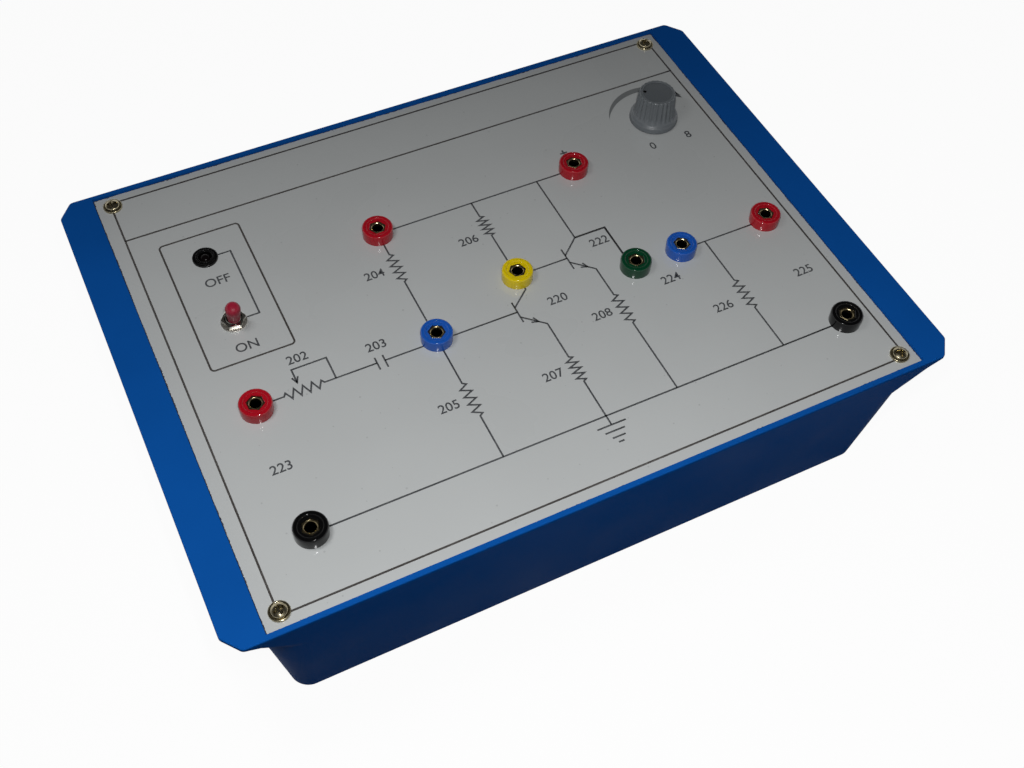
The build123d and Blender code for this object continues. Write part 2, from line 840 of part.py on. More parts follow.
def on_board(x, y, body):
    """A body moved to a place on the board's upper face, measured from the board's middle."""
    return Pos(board_x + x, board_y + y, board_z + board_thickness) * body


def can(radius, height):
    """A round capacitor with softened edges, standing at height 0."""
    body = rod(radius, 0, height)
    return fillet(body.edges().group_by(Axis.Z)[-1], can_edge)


def axial_part(radius, length):
    """A part lying along X just over the board, with both leads bent down onto it."""
    lift = radius + axial_lift
    body = Pos(0, 0, lift) * Rot(0, 90, 0) * Cylinder(radius, length)
    body = chamfer(body.edges().filter_by(GeomType.CIRCLE), axial_edge)
    reach = axial_lead_span / 2
    body += Pos(0, 0, lift) * Rot(0, 90, 0) * Cylinder(lead_radius, axial_lead_span)
    for side in (-1, 1):
        body += Pos(side * reach, 0, 0) * (rod(lead_radius, 0, lift) + Pos(0, 0, lift) * Sphere(lead_radius))
    return body


def resistors():
    """The fixed resistors, side by side along the board's front edge."""
    row = GridLocations(0, resistor_pitch, 1, resistor_count)
    part = axial_part(resistor_radius, resistor_length)
    return Compound(children=[on_board(0, 0, place * part) for place in row])


def rectifier_diodes():
    """The four diodes of the power supply."""
    row = GridLocations(0, diode_pitch, 1, diode_count)
    part = axial_part(diode_radius, diode_length)
    return Compound(children=[on_board(diode_x, 0, place * part) for place in row])


def transistor():
    """A small transistor: a round body with one flat face, on three leads."""
    top = transistor_lift + transistor_height
    body = rod(transistor_radius, transistor_lift, top)
    cutter = block(4 * transistor_radius, 2 * transistor_radius, 0, top + over)
    body -= Pos(0, -transistor_flat - transistor_radius, 0) * cutter
    for place in GridLocations(transistor_lead_spacing, 0, lead_count, 1):
        body += place * rod(lead_radius, 0, transistor_lift)
    return body


def transistors():
    """The amplifier's two transistors."""
    row = GridLocations(0, transistor_pitch, 1, transistor_count)
    return Compound(children=[on_board(transistor_x, 0, place * transistor()) for place in row])


def voltage_regulator():
    """The regulator: a moulded block with a metal tab and three flat leads."""
    top = regulator_lift + regulator_height
    body = block(regulator_width, regulator_depth, regulator_lift, top)
    tab_y = regulator_depth / 2 - regulator_tab_thickness / 2
    tab = Pos(0, tab_y, 0) * block(regulator_width, regulator_tab_thickness, top, top + regulator_tab_height)
    hole = Rot(90, 0, 0) * Cylinder(regulator_hole_radius, regulator_depth)
    body += tab - Pos(0, tab_y, top + regulator_tab_height / 2) * hole
    for place in GridLocations(regulator_lead_spacing, 0, lead_count, 1):
        body += place * block(regulator_lead_width, regulator_lead_width / 2, 0, regulator_lift)
    return on_board(regulator_x, regulator_y, body)


def at_transformer(body):
    """A body moved to the transformer's seat on its posts."""
    return Pos(transformer_x, transformer_y, clamp_z + clamp_thickness) * body


def transformer_core():
    """A stack of steel plates with two windows for the coil, lying in the clamp."""
    frame = block(core_length, core_stack, 0, core_height)
    window_length = (core_length - 4 * core_limb) / 2
    window_x = core_limb + window_length / 2
    margin = (core_height - core_window_height) / 2
    for side in (-1, 1):
        window = block(window_length, core_stack + 2 * over, margin, core_height - margin)
        frame -= Pos(side * window_x, 0, 0) * window
    return at_transformer(frame)


def transformer_coil():
    """The wound coil round the middle limb, standing out in front of and behind the core."""
    window_length = (core_length - 4 * core_limb) / 2
    half_length = core_limb + window_length - coil_gap
    margin = (core_height - core_window_height) / 2 + coil_gap
    coil = block(2 * half_length, core_stack + 2 * coil_reach, margin, core_height - margin)
    coil = fillet(coil.edges().filter_by(Axis.Z), coil_edge)
    limb = block(2 * core_limb, core_stack, margin - over, core_height - margin + over)
    return at_transformer(coil - limb)


def transformer_clamp():
    """The bent steel strap over the core, with a foot each side."""
    inner = core_length / 2
    outer = inner + clamp_thickness
    top = core_height + clamp_thickness
    strap = block(2 * outer, core_stack, -clamp_thickness, top)
    strap -= block(2 * inner, core_stack + 2 * over, -clamp_thickness - over, core_height)
    foot_centre = (outer + clamp_half) / 2
    for side in (-1, 1):
        foot = Pos(side * foot_centre, 0, 0) * block(clamp_half - outer, core_stack, -clamp_thickness, 0)
        hole_x = side * (clamp_half - clamp_hole_inset)
        hole = Pos(hole_x, 0, 0) * rod(small_screw_radius + panel_hole_gap, -clamp_thickness - over, over)
        strap += foot - hole
    return at_transformer(strap)


def cord_grommet():
    """The rubber ring in the back wall that the cord comes through."""
    inside = inlet_depth + inlet_gap
    flange = inlet_flange_thickness
    body = rod(inlet_waist_radius, -inside - flange, flange)
    body += fillet(rod(inlet_flange_radius, 0, flange).edges().group_by(Axis.Z)[-1], inlet_flange_edge)
    body += rod(inlet_flange_radius, -inside - flange, -inside)
    body -= rod(inlet_bore_radius, -inside - flange - over, flange + over)
    return inlet_frame() * body


def rubber_foot():
    """A foot with a sunk hole for its screw, standing at height 0."""
    body = Cone(foot_sole_radius, foot_radius, foot_height, align=(Align.CENTER, Align.CENTER, Align.MIN))
    body -= rod(foot_recess_radius, -over, foot_recess_depth)
    return body - rod(small_screw_radius + screw_gap, 0, foot_height + over)


def rubber_feet():
    """Four feet under the corners of the floor."""
    return Compound(children=[Pos(x, y, base_z - foot_height) * rubber_foot() for x, y in foot_places])


def foot_screws():
    """The screws of the feet, heads down and sunk in the rubber."""
    return Compound(children=[Pos(x, y, foot_seat) * Rot(180, 0, 0) * flat_screw() for x, y in foot_places])


def flat_screw():
    """A small screw with a thin head that hides in a foot."""
    head_height = foot_recess_depth - foot_screw_sink
    return screw(small_screw_head_radius, head_height, small_screw_radius, small_screw_length)


def build():
    """Every node by name."""
    nodes = {
        "housing": housing(),
        "front_panel": front_panel(),
        "panel_screws": panel_screws(),
        "socket_contacts": at_sockets(socket_contact()),
        "socket_nuts": at_sockets(socket_nut()),
        "solder_tags": at_sockets(solder_tag()),
        "indicator_holder": indicator_holder(),
        "indicator_lamp": indicator_lamp(),
        "indicator_clip": indicator_clip(),
        "switch_bushing": switch_bushing(),
        "switch_nut": switch_nut(),
        "switch_back_nut": switch_back_nut(),
        "switch_washer": switch_washer(),
        "switch_body": switch_body(),
        "switch_terminals": switch_terminals(),
        "switch_lever": switch_lever(),
        "switch_sleeve": switch_sleeve(),
        "control_case": control_case(),
        "control_bushing": control_bushing(),
        "control_washer": control_washer(),
        "control_nut": control_nut(),
        "control_lugs": control_lugs(),
        "control_shaft": control_shaft(),
        "control_knob": control_knob(),
        "circuit_board": circuit_board(),
        "board_screws": screws_at(board_hole_places, board_z + board_thickness),
        "reservoir_capacitor": on_board(reservoir_x, reservoir_y, can(reservoir_radius, reservoir_height)),
        "coupling_capacitor": on_board(coupler_x, coupler_y, can(coupler_radius, coupler_height)),
        "rectifier_diodes": rectifier_diodes(),
        "resistors": resistors(),
        "transistors": transistors(),
        "voltage_regulator": voltage_regulator(),
        "transformer_core": transformer_core(),
        "transformer_coil": transformer_coil(),
        "transformer_clamp": transformer_clamp(),
        "transformer_screws": screws_at(clamp_hole_places, clamp_z + clamp_thickness),
        "cord_grommet": cord_grommet(),
        "rubber_feet": rubber_feet(),
        "foot_screws": foot_screws(),
    }
    for name, (x, y) in socket_places.items():
        nodes["socket_head_" + name] = on_panel(x, y) * socket_head()
    return nodes


for node, shape in build().items():
    export_step(shape, "parts/" + node + ".step")
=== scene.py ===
"""Looks of a direct coupled amplifier trainer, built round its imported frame."""

import json
import logging
import math
from dataclasses import dataclass
from enum import Enum

import bmesh
import bpy
from mathutils import Matrix, Vector

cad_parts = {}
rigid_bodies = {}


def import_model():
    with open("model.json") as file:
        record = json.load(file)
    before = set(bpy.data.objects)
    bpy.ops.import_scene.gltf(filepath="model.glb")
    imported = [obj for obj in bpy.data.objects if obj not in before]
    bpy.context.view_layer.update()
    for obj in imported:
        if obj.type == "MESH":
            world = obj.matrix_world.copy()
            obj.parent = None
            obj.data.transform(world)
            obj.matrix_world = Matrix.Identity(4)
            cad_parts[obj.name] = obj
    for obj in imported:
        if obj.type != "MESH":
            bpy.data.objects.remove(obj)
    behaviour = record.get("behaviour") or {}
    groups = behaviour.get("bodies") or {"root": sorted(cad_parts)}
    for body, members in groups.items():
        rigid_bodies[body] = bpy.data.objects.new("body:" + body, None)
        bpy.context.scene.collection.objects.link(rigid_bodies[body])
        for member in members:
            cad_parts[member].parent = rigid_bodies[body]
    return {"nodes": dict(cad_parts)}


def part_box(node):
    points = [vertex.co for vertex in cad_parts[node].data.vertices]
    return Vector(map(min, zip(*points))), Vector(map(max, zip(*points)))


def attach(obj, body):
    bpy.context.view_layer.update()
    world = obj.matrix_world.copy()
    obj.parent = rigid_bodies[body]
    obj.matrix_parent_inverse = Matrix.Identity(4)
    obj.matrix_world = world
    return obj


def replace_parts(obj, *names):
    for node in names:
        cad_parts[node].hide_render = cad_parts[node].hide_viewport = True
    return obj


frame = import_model()
log = logging.getLogger("trainer")

MM = 0.001
TINY = 1e-4
NEAR = 10 * TINY
WHITE = (1.0, 1.0, 1.0, 1.0)
CORNERS = ((-1, -1), (1, -1), (1, 1), (-1, 1))
FULL_TURN = 2 * math.pi
Point = tuple[float, float]
Colour = tuple[float, float, float, float]
Socket = bpy.types.NodeSocket
Edge = bmesh.types.BMEdge


class Body(Enum):
    """The bodies of the frame that pieces ride on."""

    BOX = "box"
    KNOB = "knob"
    TOGGLE = "toggle"


class Effect(Enum):
    """The shared node groups."""

    GRAIN = "moulded_grain"
    SPECKS = "dust_specks"
    MARKS = "turning_marks"


def screen(red: float, green: float, blue: float) -> Colour:
    """Turns a colour seen on a screen into the linear one that shaders take.

    Args:
        red: Red share, 0 to 255.
        green: Green share, 0 to 255.
        blue: Blue share, 0 to 255.

    Returns:
        The linear colour with full alpha.
    """
    shares = [share / 255 for share in (red, green, blue)]
    linear = [s / 12.92 if s <= 0.04045 else ((s + 0.055) / 1.055) ** 2.4 for s in shares]
    return (linear[0], linear[1], linear[2], 1.0)


def darker(colour: Colour, share: float) -> Colour:
    """A colour times a share, with full alpha."""
    return (colour[0] * share, colour[1] * share, colour[2] * share, 1.0)


# Shared effects


class Effects:
    """Builds each shared node group once and hands it out by name."""

    GRAIN_PARTS = (("Fine", "Height", 2.0), ("Broad", "Patch", 4.0))
    NOISE_LOW = 0.3
    NOISE_HIGH = 0.7
    MARK_DETAIL = 3.0

    def __init__(self) -> None:
        """Builds the groups for grain, specks and turning marks."""
        self.groups = {
            Effect.GRAIN: self.grain(),
            Effect.SPECKS: self.specks(),
            Effect.MARKS: self.marks(),
        }

    def started(self, effect: Effect, values: dict[str, float],
                results: list[str]) -> bpy.types.NodeTree:
        """Starts a group with a place input, number inputs and number outputs.

        Args:
            effect: Which effect, whose name the group gets.
            values: Names and first values of the number inputs.
            results: Names of the number outputs.

        Returns:
            The group, with its input and output nodes inside.
        """
        tree = bpy.data.node_groups.new(effect.value, "ShaderNodeTree")
        tree.interface.new_socket("Place", in_out="INPUT", socket_type="NodeSocketVector")
        for name, value in values.items():
            socket = tree.interface.new_socket(name, in_out="INPUT", socket_type="NodeSocketFloat")
            socket.default_value = value
        for name in results:
            tree.interface.new_socket(name, in_out="OUTPUT", socket_type="NodeSocketFloat")
        tree.nodes.new("NodeGroupInput").name = "start"
        tree.nodes.new("NodeGroupOutput").name = "end"
        return tree

    def grain(self) -> bpy.types.NodeTree:
        """Fine grain of a mould, and broad patches where colour and gloss drift.

        Returns:
            The group, with outputs Height and Patch.
        """
        tree = self.started(Effect.GRAIN, {"Fine": 1500.0, "Broad": 25.0}, ["Height", "Patch"])
        start, end = tree.nodes["start"], tree.nodes["end"]
        for name, result, detail in self.GRAIN_PARTS:
            noise = tree.nodes.new("ShaderNodeTexNoise")
            noise.inputs["Detail"].default_value = detail
            tree.links.new(start.outputs["Place"], noise.inputs["Vector"])
            tree.links.new(start.outputs[name], noise.inputs["Scale"])
            stretch = tree.nodes.new("ShaderNodeMapRange")
            stretch.inputs["From Min"].default_value = self.NOISE_LOW
            stretch.inputs["From Max"].default_value = self.NOISE_HIGH
            tree.links.new(noise.outputs["Fac"], stretch.inputs["Value"])
            tree.links.new(stretch.outputs[0], end.inputs[result])
        return tree

    def specks(self) -> bpy.types.NodeTree:
        """Scattered specks of dust, small dots of uneven size.

        Returns:
            The group, with output Mask.
        """
        tree = self.started(Effect.SPECKS, {"Scale": 300.0, "Size": 0.08}, ["Mask"])
        start, end = tree.nodes["start"], tree.nodes["end"]
        cells = tree.nodes.new("ShaderNodeTexVoronoi")
        tree.links.new(start.outputs["Place"], cells.inputs["Vector"])
        tree.links.new(start.outputs["Scale"], cells.inputs["Scale"])
        split = tree.nodes.new("ShaderNodeSeparateColor")
        tree.links.new(cells.outputs["Color"], split.inputs[0])
        reach = tree.nodes.new("ShaderNodeMath")
        reach.operation = "MULTIPLY"
        tree.links.new(start.outputs["Size"], reach.inputs[0])
        tree.links.new(split.outputs[0], reach.inputs[1])
        dots = tree.nodes.new("ShaderNodeMath")
        dots.operation = "LESS_THAN"
        tree.links.new(cells.outputs["Distance"], dots.inputs[0])
        tree.links.new(reach.outputs[0], dots.inputs[1])
        tree.links.new(dots.outputs[0], end.inputs["Mask"])
        return tree

    def marks(self) -> bpy.types.NodeTree:
        """Fine lines left by turning, one above the other along Z.

        Returns:
            The group, with output Height.
        """
        tree = self.started(Effect.MARKS, {"Scale": 3000.0}, ["Height"])
        start, end = tree.nodes["start"], tree.nodes["end"]
        split = tree.nodes.new("ShaderNodeSeparateXYZ")
        noise = tree.nodes.new("ShaderNodeTexNoise")
        noise.noise_dimensions = "1D"
        noise.inputs["Detail"].default_value = self.MARK_DETAIL
        tree.links.new(start.outputs["Place"], split.inputs[0])
        tree.links.new(split.outputs["Z"], noise.inputs["W"])
        tree.links.new(start.outputs["Scale"], noise.inputs["Scale"])
        tree.links.new(noise.outputs["Fac"], end.inputs["Height"])
        return tree


effects = Effects()


class Shader:
    """A material's own nodes round one Principled shader."""

    COLOUR_SLOTS = (6, 7)
    COLOUR_RESULT = 2

    def __init__(self, name: str) -> None:
        """Makes the material.

        Args:
            name: The material's name.
        """
        self.material = bpy.data.materials.new(name)
        self.material.use_nodes = True
        self.tree = self.material.node_tree
        self.main = self.tree.nodes["Principled BSDF"]
        self.place = self.tree.nodes.new("ShaderNodeTexCoord").outputs["Object"]

    def hold(self, **values: float) -> None:
        """Sets plain values on the shader's sockets, with _ for a space in their names."""
        for name, value in values.items():
            self.main.inputs[name.replace("_", " ")].default_value = value

    def feed(self, source: Socket, name: str) -> None:
        """Joins a node's output to a socket of the shader."""
        self.tree.links.new(source, self.main.inputs[name])

    def effect(self, effect: Effect, **values: float) -> bpy.types.Node:
        """Places a shared effect with its own values.

        Args:
            effect: Which effect.
            values: Values of its number inputs.

        Returns:
            The group's node.
        """
        node = self.tree.nodes.new("ShaderNodeGroup")
        node.node_tree = effects.groups[effect]
        self.tree.links.new(self.place, node.inputs["Place"])
        for name, value in values.items():
            node.inputs[name].default_value = value
        return node

    def reckon(self, operation: str, first: Socket | float, second: Socket | float = 0.0) -> Socket:
        """A math node on two sockets or numbers.

        Args:
            operation: The operation's name.
            first: Socket or number.
            second: Socket or number.

        Returns:
            The result's socket.
        """
        node = self.tree.nodes.new("ShaderNodeMath")
        node.operation = operation
        for slot, value in enumerate((first, second)):
            if isinstance(value, Socket):
                self.tree.links.new(value, node.inputs[slot])
            else:
                node.inputs[slot].default_value = value
        return node.outputs[0]

    def split(self) -> bpy.types.Node:
        """Splits the place into X, Y and Z.

        Returns:
            The node with the three outputs.
        """
        node = self.tree.nodes.new("ShaderNodeSeparateXYZ")
        self.tree.links.new(self.place, node.inputs[0])
        return node

    def spread(self, mask: Socket, low: float, high: float) -> Socket:
        """Stretches a mask from 0 to 1 over a range of values.

        Args:
            mask: The mask.
            low: Value where the mask is 0.
            high: Value where the mask is 1.

        Returns:
            The stretched value's socket.
        """
        node = self.tree.nodes.new("ShaderNodeMapRange")
        self.tree.links.new(mask, node.inputs["Value"])
        node.inputs["To Min"].default_value = low
        node.inputs["To Max"].default_value = high
        return node.outputs[0]

    def blend(self, mask: Socket, low: Socket | Colour, high: Socket | Colour) -> Socket:
        """Mixes two colours, or sockets that give colours, by a mask.

        Args:
            mask: 0 for the first colour and 1 for the second.
            low: First colour or socket.
            high: Second colour or socket.

        Returns:
            The mixed colour's socket.
        """
        node = self.tree.nodes.new("ShaderNodeMix")
        node.data_type = "RGBA"
        self.tree.links.new(mask, node.inputs[0])
        for slot, value in zip(self.COLOUR_SLOTS, (low, high)):
            if isinstance(value, Socket):
                self.tree.links.new(value, node.inputs[slot])
            else:
                node.inputs[slot].default_value = value
        return node.outputs[self.COLOUR_RESULT]

    def bump(self, height: Socket, depth: float) -> None:
        """Raises the surface by a height from 0 to 1.

        Args:
            height: The height's socket.
            depth: Depth of the relief in metres.
        """
        node = self.tree.nodes.new("ShaderNodeBump")
        node.inputs["Distance"].default_value = depth
        self.tree.links.new(height, node.inputs["Height"])
        self.feed(node.outputs["Normal"], "Normal")


# Finishes


@dataclass(frozen=True)
class Moulded:
    """Moulded plastic or rubber, with fine grain and a colour that drifts a little."""

    name: str
    colour: Colour
    roughness: float = 0.35
    roughness_drift: float = 0.06
    drift: float = 0.88
    fine: float = 1800.0
    broad: float = 30.0
    depth: float = 0.00001
    gloss: float = 0.4

    def material(self) -> bpy.types.Material:
        """Builds the material.

        Returns:
            The finished material.
        """
        shader = Shader(self.name)
        grain = shader.effect(Effect.GRAIN, Fine=self.fine, Broad=self.broad)
        patch = grain.outputs["Patch"]
        shader.feed(shader.blend(patch, darker(self.colour, self.drift), self.colour), "Base Color")
        low, high = self.roughness - self.roughness_drift, self.roughness + self.roughness_drift
        shader.feed(shader.spread(patch, low, high), "Roughness")
        shader.bump(grain.outputs["Height"], self.depth)
        shader.hold(Specular_IOR_Level=self.gloss)
        return shader.material


@dataclass(frozen=True)
class PanelSheet:
    """The panel's glossy sheet: pale grey, a little dusty, darker in a ragged band along its outline."""

    name: str
    colour: Colour
    edge_colour: Colour
    half_length: float
    half_width: float
    edge_width: float = 0.00012
    edge_wander: float = 0.0005
    edge_fine: float = 1300.0
    edge_broad: float = 110.0
    fine: float = 900.0
    broad: float = 14.0
    drift: float = 0.95
    speck_scale: float = 240.0
    speck_size: float = 0.1
    speck_shade: float = 0.82
    roughness: float = 0.3
    roughness_drift: float = 0.05
    depth: float = 0.000002
    gloss: float = 0.2
    coat_roughness: float = 0.12

    def edge(self, shader: Shader) -> Socket:
        """The ragged band along the sheet's outline, where its colour is darker.

        Args:
            shader: The material's nodes.

        Returns:
            A mask, 1 on the band.
        """
        where = shader.split()
        ragged = shader.effect(Effect.GRAIN, Fine=self.edge_fine, Broad=self.edge_broad)
        both = shader.reckon("MULTIPLY", ragged.outputs["Height"], ragged.outputs["Patch"])
        reach = shader.spread(both, self.edge_width, self.edge_width + self.edge_wander)
        inward = []
        for axis, half in (("X", self.half_length), ("Y", self.half_width)):
            away = shader.reckon("ABSOLUTE", where.outputs[axis])
            inward.append(shader.reckon("SUBTRACT", half, away))
        return shader.reckon("LESS_THAN", shader.reckon("MINIMUM", *inward), reach)

    def material(self) -> bpy.types.Material:
        """Builds the material.

        Returns:
            The finished material.
        """
        shader = Shader(self.name)
        grain = shader.effect(Effect.GRAIN, Fine=self.fine, Broad=self.broad)
        specks = shader.effect(Effect.SPECKS, Scale=self.speck_scale, Size=self.speck_size)
        patch = grain.outputs["Patch"]
        face = shader.blend(patch, darker(self.colour, self.drift), self.colour)
        dusty = shader.blend(specks.outputs["Mask"], face, darker(self.colour, self.speck_shade))
        shader.feed(shader.blend(self.edge(shader), dusty, self.edge_colour), "Base Color")
        low, high = self.roughness - self.roughness_drift, self.roughness + self.roughness_drift
        shader.feed(shader.spread(patch, low, high), "Roughness")
        shader.bump(grain.outputs["Height"], self.depth)
        shader.hold(Specular_IOR_Level=self.gloss, Coat_Weight=1.0, Coat_Roughness=self.coat_roughness)
        return shader.material


@dataclass(frozen=True)
class Metal:
    """Plated or turned metal, with fine turning marks and duller patches."""

    name: str
    colour: Colour
    roughness: float = 0.25
    rougher: float = 0.1
    smoother: float = 0.06
    fine: float = 2400.0
    broad: float = 260.0
    marks: float = 2500.0
    depth: float = 0.000003
    dullness: float = 0.7

    def material(self) -> bpy.types.Material:
        """Builds the material.

        Returns:
            The finished material.
        """
        shader = Shader(self.name)
        grain = shader.effect(Effect.GRAIN, Fine=self.fine, Broad=self.broad)
        marks = shader.effect(Effect.MARKS, Scale=self.marks)
        patch = grain.outputs["Patch"]
        shader.feed(shader.blend(patch, darker(self.colour, self.dullness), self.colour), "Base Color")
        dull, bright = self.roughness + self.rougher, self.roughness - self.smoother
        shader.feed(shader.spread(patch, dull, bright), "Roughness")
        shader.bump(marks.outputs["Height"], self.depth)
        shader.hold(Metallic=1.0)
        return shader.material


@dataclass(frozen=True)
class Ink:
    """Screen printed ink, a little thin in places."""

    name: str
    colour: Colour
    thin_colour: Colour
    roughness: float = 0.4
    rougher: float = 0.1
    smoother: float = 0.05
    fine: float = 2600.0
    broad: float = 60.0
    depth: float = 0.000003
    gloss: float = 0.25

    def material(self) -> bpy.types.Material:
        """Builds the material.

        Returns:
            The finished material.
        """
        shader = Shader(self.name)
        grain = shader.effect(Effect.GRAIN, Fine=self.fine, Broad=self.broad)
        thin = shader.reckon("MULTIPLY", grain.outputs["Height"], grain.outputs["Patch"])
        shader.feed(shader.blend(thin, self.colour, self.thin_colour), "Base Color")
        low, high = self.roughness - self.smoother, self.roughness + self.rougher
        shader.feed(shader.spread(grain.outputs["Patch"], low, high), "Roughness")
        shader.bump(grain.outputs["Height"], self.depth)
        shader.hold(Specular_IOR_Level=self.gloss)
        return shader.material


@dataclass(frozen=True)
class Banded:
    """Lacquered resistors, with colour bands across their length."""

    name: str
    colour: Colour
    bands: tuple[tuple[float, Colour], ...]
    middle: float
    band_width: float = 0.0007
    drift: float = 0.85
    smooth: float = 0.25
    rough: float = 0.4
    fine: float = 2000.0
    broad: float = 300.0
    depth: float = 0.000004

    def material(self) -> bpy.types.Material:
        """Builds the material.

        Returns:
            The finished material.
        """
        shader = Shader(self.name)
        grain = shader.effect(Effect.GRAIN, Fine=self.fine, Broad=self.broad)
        along = shader.split().outputs["X"]
        mixed = shader.blend(grain.outputs["Patch"], darker(self.colour, self.drift), self.colour)
        for place, colour in self.bands:
            away = shader.reckon("ABSOLUTE", shader.reckon("SUBTRACT", along, self.middle + place))
            mixed = shader.blend(shader.reckon("LESS_THAN", away, self.band_width / 2), mixed, colour)
        shader.feed(mixed, "Base Color")
        shader.feed(shader.spread(grain.outputs["Patch"], self.smooth, self.rough), "Roughness")
        shader.bump(grain.outputs["Height"], self.depth)
        return shader.material


# Modelling


@dataclass(frozen=True)
class Ring:
    """One ring of a turned shape: radius, height and how far its edge is rounded, in mm."""

    radius: float
    height: float
    soft: float = 0.0


class Form:
    """A mesh in the making, in millimetres."""

    def __init__(self) -> None:
        """Starts an empty mesh."""
        self.bm = bmesh.new()

    def close(self) -> None:
        """Merges doubles and turns the faces outwards."""
        bmesh.ops.remove_doubles(self.bm, verts=self.bm.verts, dist=TINY)
        bmesh.ops.recalc_face_normals(self.bm, faces=self.bm.faces)

    def turn(self, rings: list[Ring], steps: int = 64, segments: int = 4,
             closed: bool = True) -> None:
        """Spins an outline round the upright axis and rounds its soft edges.

        Args:
            rings: The outline's corners in order.
            steps: Steps of the full turn.
            segments: Faces across a rounded edge.
            closed: Whether the last ring joins the first, where they don't lie on the axis.
        """
        corners = [self.bm.verts.new((ring.radius, 0, ring.height)) for ring in rings]
        edges = [self.bm.edges.new(pair) for pair in zip(corners, corners[1:])]
        if closed and rings[0].radius > 0:
            edges.append(self.bm.edges.new((corners[-1], corners[0])))
        bmesh.ops.spin(self.bm, geom=corners + edges, cent=(0, 0, 0), axis=(0, 0, 1),
                       angle=FULL_TURN, steps=steps, use_merge=True)
        self.close()
        for ring in rings:
            if ring.soft > 0:
                self.round_off(self.on_ring(ring), ring.soft, segments)

    def on_ring(self, ring: Ring) -> list[Edge]:
        """The edges that lie on a ring of the turned shape.

        Args:
            ring: The ring.

        Returns:
            Its edges.
        """
        found = set()
        for vert in self.bm.verts:
            off_radius = abs(math.hypot(vert.co.x, vert.co.y) - ring.radius)
            if off_radius < NEAR and abs(vert.co.z - ring.height) < NEAR:
                found.add(vert)
        return [edge for edge in self.bm.edges if all(vert in found for vert in edge.verts)]

    def circle(self, radius: float, height: float, steps: int) -> list[Edge]:
        """A loose circle round the upright axis.

        Args:
            radius: Its radius.
            height: Its height.
            steps: Its corners.

        Returns:
            Its edges.
        """
        made = bmesh.ops.create_circle(self.bm, segments=steps, radius=radius,
                                       matrix=Matrix.Translation((0, 0, height)))
        return list(dict.fromkeys(edge for vert in made["verts"] for edge in vert.link_edges))

    def hexagon(self, width: float, height: float, steps: int) -> list[Edge]:
        """A loose hexagon round the upright axis.

        Args:
            width: Width across its flats.
            height: Its height.
            steps: Its corners, counting those along its sides.

        Returns:
            Its edges.
        """
        edges = self.circle(width / 2, height, steps)
        for vert in {vert for edge in edges for vert in edge.verts}:
            from_flat = math.atan2(vert.co.y, vert.co.x) % (math.pi / 3) - math.pi / 6
            vert.co.xy = vert.co.xy / math.cos(from_flat)
        return edges

    def bridge(self, loops: list[list[Edge]]) -> None:
        """Joins loops of edges, each to the next, by walls."""
        for first, second in zip(loops, loops[1:]):
            bmesh.ops.bridge_loops(self.bm, edges=first + second)

    def round_off(self, edges: list[Edge], width: float, segments: int = 3) -> None:
        """Rounds edges, as far as width along the faces, with a number of faces across."""
        bmesh.ops.bevel(self.bm, geom=edges, offset=width, offset_type="OFFSET", segments=segments,
                        profile=0.5, affect="EDGES", material=-1)

    def sharp_edges(self, angle: float) -> list[Edge]:
        """The edges whose faces meet at more than an angle in degrees."""
        limit = math.radians(angle)
        return [e for e in self.bm.edges if len(e.link_faces) == 2 and e.calc_face_angle(0.0) > limit]

    def place(self, matrix: Matrix) -> None:
        """Moves and turns the whole mesh."""
        bmesh.ops.transform(self.bm, matrix=matrix, verts=self.bm.verts)

    def raise_up(self, made: dict[str, list], height: float) -> None:
        """Lifts what an extrusion made by a height."""
        upper = [item for item in made["geom"] if isinstance(item, bmesh.types.BMVert)]
        bmesh.ops.translate(self.bm, vec=(0, 0, height), verts=upper)

    def add(self, mesh: bpy.types.Mesh, matrix: Matrix) -> None:
        """Adds a placed copy of a finished mesh.

        Args:
            mesh: The mesh, in millimetres.
            matrix: Where it goes.
        """
        copy = mesh.copy()
        copy.transform(matrix)
        self.bm.from_mesh(copy)
        bpy.data.meshes.remove(copy)

    def mesh(self, name: str, scale: float = 1.0) -> bpy.types.Mesh:
        """Ends the form as a mesh.

        Args:
            name: The mesh's name.
            scale: Scale from millimetres.

        Returns:
            The mesh.
        """
        mesh = bpy.data.meshes.new(name)
        bmesh.ops.scale(self.bm, vec=(scale, scale, scale), verts=self.bm.verts)
        self.bm.to_mesh(mesh)
        self.bm.free()
        return mesh

    def piece(self, name: str, finish: bpy.types.Material, slot: str, body: Body = Body.BOX,
              crease: float = 35.0) -> bpy.types.Object:
        """Ends the form as a shown piece of the object.

        Args:
            name: The piece's name.
            finish: Its material.
            slot: The record's material slot; not used.
            body: The body that it rides on.
            crease: Angle in degrees past which an edge stays sharp.

        Returns:
            The piece.
        """
        mesh = self.mesh(name, MM)
        mesh.materials.append(finish)
        mesh.shade_smooth()
        mesh.set_sharp_from_angle(angle=math.radians(crease))
        thing = bpy.data.objects.new(name, mesh)
        bpy.context.scene.collection.objects.link(thing)
        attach(thing, body.value)
        log.info("%s: %d faces on %s", name, len(mesh.polygons), body.value)
        return thing


def cut(mesh: bpy.types.Mesh, tool: bpy.types.Mesh) -> bpy.types.Mesh:
    """Cuts one closed mesh out of another.

    Args:
        mesh: The mesh to cut.
        tool: The shape of the cut.

    Returns:
        The cut mesh.
    """
    scene = bpy.context.scene.collection.objects
    whole, cutter = bpy.data.objects.new("whole", mesh), bpy.data.objects.new("cutter", tool)
    scene.link(whole)
    scene.link(cutter)
    modifier = whole.modifiers.new("cut", "BOOLEAN")
    modifier.object = cutter
    modifier.solver = "EXACT"
    found = whole.evaluated_get(bpy.context.evaluated_depsgraph_get())
    result = bpy.data.meshes.new_from_object(found)
    bpy.data.objects.remove(whole)
    bpy.data.objects.remove(cutter)
    return result


